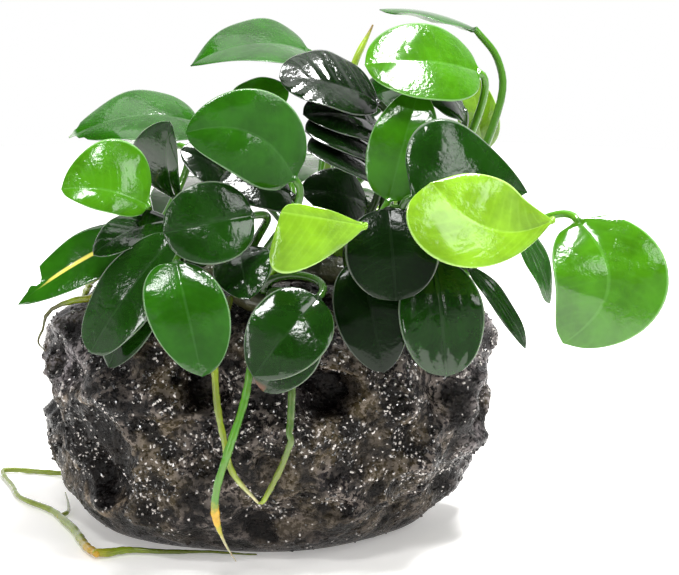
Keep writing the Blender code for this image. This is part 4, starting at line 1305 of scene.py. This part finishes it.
# %% Root routes
# Each stop of a route: x, y, z and the thickness there, in mm.
HANGING_ROOTS = {
    "root_front_left": (
        (-7, -29, 60, 1.7), (-9.6, -38, 52, 1.6), (-9.4, -42, 42, 1.6), (-7.8, -43.5, 33, 1.6),
        (-6, -43.5, 26, 1.5), (-0.9, -43, 19.5, 1.3)),
    "root_front_centre": (
        (-1, -33, 58, 2.2), (-2, -40, 51, 2.2), (-3.5, -43, 42, 2.2), (-6.5, -46.3, 33, 2.1),
        (-9.3, -46.5, 24, 2.0), (-9.8, -44, 17, 1.8), (-8.3, -39, 9.5, 1.5), (-6, -33.5, 3, 0.9)),
    "root_front_right": (
        (5, -32, 60, 1.7), (6.3, -41, 49, 1.7), (6, -44.3, 37, 1.6), (5, -44, 30, 1.5),
        (0.7, -43.5, 20.7, 1.3)),
}
CLINGING_ROOTS = {
    "root_left_shoulder": (
        (-33.5, -4, 58, 1.9), (-38, -5, 54.5, 1.9), (-43.5, -4, 53, 1.7), (-48.5, -3, 48, 1.5),
        (-50.5, -5, 44.5, 1.2), (-49, -6, 42.5, 0.9)),
    "root_back_left": (
        (-33, 2, 59, 1.9), (-40.6, 14.8, 52.8, 1.9), (-44, 24, 40, 1.8), (-46, 28, 24, 1.8),
        (-44, 30, 8, 1.8)),
    "root_back_right": (
        (16, 22, 58, 1.8), (20, 34, 48, 1.7), (16, 40, 36, 1.6), (20, 38, 22, 1.4)),
    "root_right_shoulder": (
        (33, 5, 58, 1.8), (40.5, 13, 54.5, 1.8), (46, 19.5, 48.5, 1.7), (47, 23, 38, 1.5),
        (44, 25, 26, 1.2)),
}
GROUND_ROOTS = {
    "root_ground_left": (
        (-43, 31, 4, 1.8), (-50, 34.5, 1, 1.7), (-62, 37, 1, 1.7), (-64.5, 35, 1, 1.7),
        (-61, 25, 1, 1.6), (-58, 16, 1, 1.6), (-50, 7, 1, 1.7), (-46, -1, 1, 2.0),
        (-43, -8, 1, 2.2), (-39.5, -19, 1.3, 2.2), (-37, -23.5, 1.4, 2.6)),
    "root_ground_side": ((-46, 5.8, 1, 1.2), (-46.5, 12, 1, 1.1), (-48, 20, 1, 0.9)),
    "root_ground_front": (
        (-34.5, -23, 1.3, 2.0), (-30, -21, 1.2, 1.8), (-22, -21.5, 1, 1.5), (-12, -21.5, 1, 1.2),
        (-2, -21.5, 1, 0.9)),
}
ROOT_CLEARANCE, PUSHES = 0.35, 4


def root_path(route, steps):
    """Centres and radii along a root, clear of the stone and on or above the floor."""
    centres = smooth_path([Vector(stop[:3]) for stop in route], steps)
    radii = []
    for (*_, start), (*_, end) in zip(route, route[1:]):
        radii += [(start + (end - start) * k / steps) / 2 for k in range(steps)]
    radii.append(route[-1][3] / 2)
    for k, (point, radius) in enumerate(zip(centres, radii)):
        for _ in range(PUSHES):
            near, normal, _, _ = surface.find_nearest(point)
            if (point - near).dot(normal) < radius + ROOT_CLEARANCE:
                point = near + normal * (radius + ROOT_CLEARANCE)
            point.z = max(point.z, radius)
        centres[k] = point
    return centres, radii


# %% Root finishes
def root_finish(name, stops):
    """Colours along the root: each stop is a share of its length and a colour."""
    material, shader, place = new_finish(
        name, Roughness=0.25, Specular_IOR_Level=0.4, Coat_Weight=0.4, Coat_Roughness=0.06,
        Subsurface_Weight=0.1, Subsurface_Scale=0.0008)
    waver = times(maths("SUBTRACT", speckles(place, 3.0, 3.0), 0.5), 0.10)
    share = plus(noted_on(shader, "run"), waver)
    color = stops[0][1]
    for (start, _), (end, after) in zip(stops, stops[1:]):
        color = tint(color, after, ramp(share, start, end))
    fleck = drifting(place, 0.0013, 0.6)
    color = tint(color, rgb(0.10, 0.12, 0.015), fleck, 0.3)
    feed(shader, Base_Color=color)
    bump(shader, times(speckles(place, 0.4), 0.15), 0.8)
    return material


OLIVE, FRESH, DULL = rgb(0.115, 0.155, 0.010), rgb(0.050, 0.200, 0.004), rgb(0.040, 0.105, 0.008)
LIME, YELLOW, ORANGE = rgb(0.22, 0.30, 0.012), rgb(0.40, 0.36, 0.015), rgb(0.60, 0.33, 0.010)
CREAM, BROWN = rgb(0.50, 0.46, 0.26), rgb(0.06, 0.055, 0.015)
ROOT_COLORS = {
    "olive root": ((0.0, OLIVE), (0.3, LIME), (0.5, OLIVE), (0.8, LIME), (1.0, CREAM)),
    "fresh root": (
        (0.0, DULL), (0.35, FRESH), (0.66, FRESH), (0.70, ORANGE), (0.75, ORANGE), (0.79, YELLOW),
        (0.86, CREAM)),
    "dull root": ((0.0, DULL), (0.6, DULL), (0.85, OLIVE), (1.0, LIME)),
    "shoulder root": ((0.0, LIME), (0.2, YELLOW), (0.4, LIME), (0.6, BROWN)),
    "floor root": ((0.0, LIME), (0.35, OLIVE), (0.6, LIME), (0.85, LIME), (1.0, ORANGE)),
    "front floor root": ((0.0, YELLOW), (0.15, LIME), (0.5, OLIVE), (1.0, OLIVE)),
}
root_finishes = {name: root_finish(name, stops) for name, stops in ROOT_COLORS.items()}
print("root finishes:", ", ".join(root_finishes))

# %% Root pieces
ROOT_LOOKS = {  # the finish, and how the thickness changes: share of the length and factor
    "root_front_left": ("olive root", ((0.0, 1.0), (0.8, 0.9), (1.0, 0.45))),
    "root_front_centre": ("fresh root", (
        (0.0, 0.7), (0.4, 0.8), (0.66, 0.85), (0.70, 1.15), (0.76, 0.8), (0.82, 0.45), (0.9, 0.4),
        (1.0, 0.2))),
    "root_front_right": ("dull root", ((0.0, 1.0), (0.8, 0.9), (1.0, 0.5))),
    "root_left_shoulder": ("shoulder root", ((0.0, 1.0), (0.35, 0.9), (0.6, 0.45), (1.0, 0.3))),
    "root_ground_left": ("floor root", ((0.0, 0.8), (0.5, 0.7), (0.75, 0.95), (1.0, 0.8))),
    "root_ground_side": ("front floor root", ((0.0, 1.0), (1.0, 0.3))),
    "root_ground_front": ("front floor root", ((0.0, 0.9), (0.5, 0.8), (1.0, 0.4))),
}
PLAIN_ROOT = "olive root", ((0.0, 1.0), (0.7, 0.9), (1.0, 0.4))
ROUTES = {**HANGING_ROOTS, **CLINGING_ROOTS, **GROUND_ROOTS}
REACH_BACK = {
    "root_ground_front": (-36.6, -23.6, 1.5, 2.2), "root_ground_side": (-47.6, 2.5, 1.0, 1.4),
    "root_ground_left": (-43.8, 30.2, 7.6, 1.5), "root_back_left": (-30.6, -2.2, 60.0, 1.9),
    "root_back_right": (11.8, 17.6, 60.2, 1.8), "root_right_shoulder": (31.0, -1.8, 59.2, 1.8)}
REACH_ON = {"root_front_right": (-0.6, -43.2, 19.4, 1.0)}


def factor_at(profile, share):
    """The factor of the thickness at this share of the length."""
    for (start, first), (end, second) in zip(profile, profile[1:]):
        if share <= end:
            return first + (second - first) * (share - start) / (end - start)
    return profile[-1][1]


def closed_ends(centres, radii):
    """Adds a rounded cap of four points at both ends."""
    before = (centres[0] - centres[1]).normalized()
    after = (centres[-1] - centres[-2]).normalized()
    caps = [(s, math.sqrt(1 - s * s)) for s in (0.3, 0.6, 0.85, 0.98)]
    start = [(centres[0] + before * radii[0] * s * 1.3, radii[0] * c) for s, c in reversed(caps)]
    end = [(centres[-1] + after * radii[-1] * s * 1.3, radii[-1] * c) for s, c in caps]
    stops = start + list(zip(centres, radii)) + end
    return [point for point, _ in stops], [radius for _, radius in stops]


for name, route in ROUTES.items():
    if name in REACH_BACK:
        route = (REACH_BACK[name], *route)
    if name in REACH_ON:
        route = (*route, REACH_ON[name])
    finish, profile = ROOT_LOOKS.get(name, PLAIN_ROOT)
    centres, radii = root_path(route, 8)
    last = len(radii) - 1
    radii = [radius * factor_at(profile, k / last) for k, radius in enumerate(radii)]
    centres, radii = closed_ends(centres, radii)
    piece = grow_along(
        "grown_" + name, centres, radii, tube, root_finishes[finish], Ring_Height=0.0, Step=0.0003,
        Wobble=0.5)
    stand_in_for(piece, name)
print("roots:", len(ROUTES))

# %% [markdown]
# ## The young shoot
# The newest leaf is still rolled up: a slim green spike with a brownish tip. It is the same tube
# with no rings, drawn out to a point.

# %% Young shoot
SHOOT_ROUTE = (10.5, -4, 66), (13, -2, 80), (18.5, -2, 103), (23.5, -2, 114.5)
SHOOT_RADIUS = 0.8

spike, shader, place = new_finish(
    "rolled young leaf", Roughness=0.28, Coat_Weight=1.0, Coat_Roughness=0.04)
_, _, up = xyz(place)
color = blend(ramp(up, 0.070, 0.100), rgb(0.10, 0.26, 0.012), rgb(0.30, 0.46, 0.02))
color = tint(color, rgb(0.22, 0.13, 0.03), ramp(up, 0.1105, 0.1145))
feed(shader, Base_Color=color)
bump(shader, times(speckles(place, 0.6, 1.0), 0.05))

points = smooth_path([Vector(stop) for stop in SHOOT_ROUTE], 12)
last = len(points) - 1
radii = [SHOOT_RADIUS * min(1.0, 0.25 + 0.12 * (last - k)) for k in range(last + 1)]
shoot = grow_along(
    "rolled_young_shoot", points, radii, tube, spike, Ring_Height=0.0, Wobble=0.08, Skin=0.0)
stand_in_for(shoot, "young_shoot")
print("young shoot:", len(shoot.data.polygons), "faces")

# %% [markdown]
# ## Last look
# The finished plant must not be larger than the imported model, so both boxes are printed.

# %% Measure and finish
finished_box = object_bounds()
sizes = {"cad": [[float(v) for v in corner] for corner in cad_box],
         "visual": [[float(v) for v in corner] for corner in finished_box]}
for label, box in sizes.items():
    print(label, [[round(v / MM, 2) for v in corner] for corner in box])
meshes = [obj.data for obj in bpy.data.objects if obj.type == "MESH"]
print("triangles:", sum(len(face.vertices) - 2 for mesh in meshes for face in mesh.polygons))
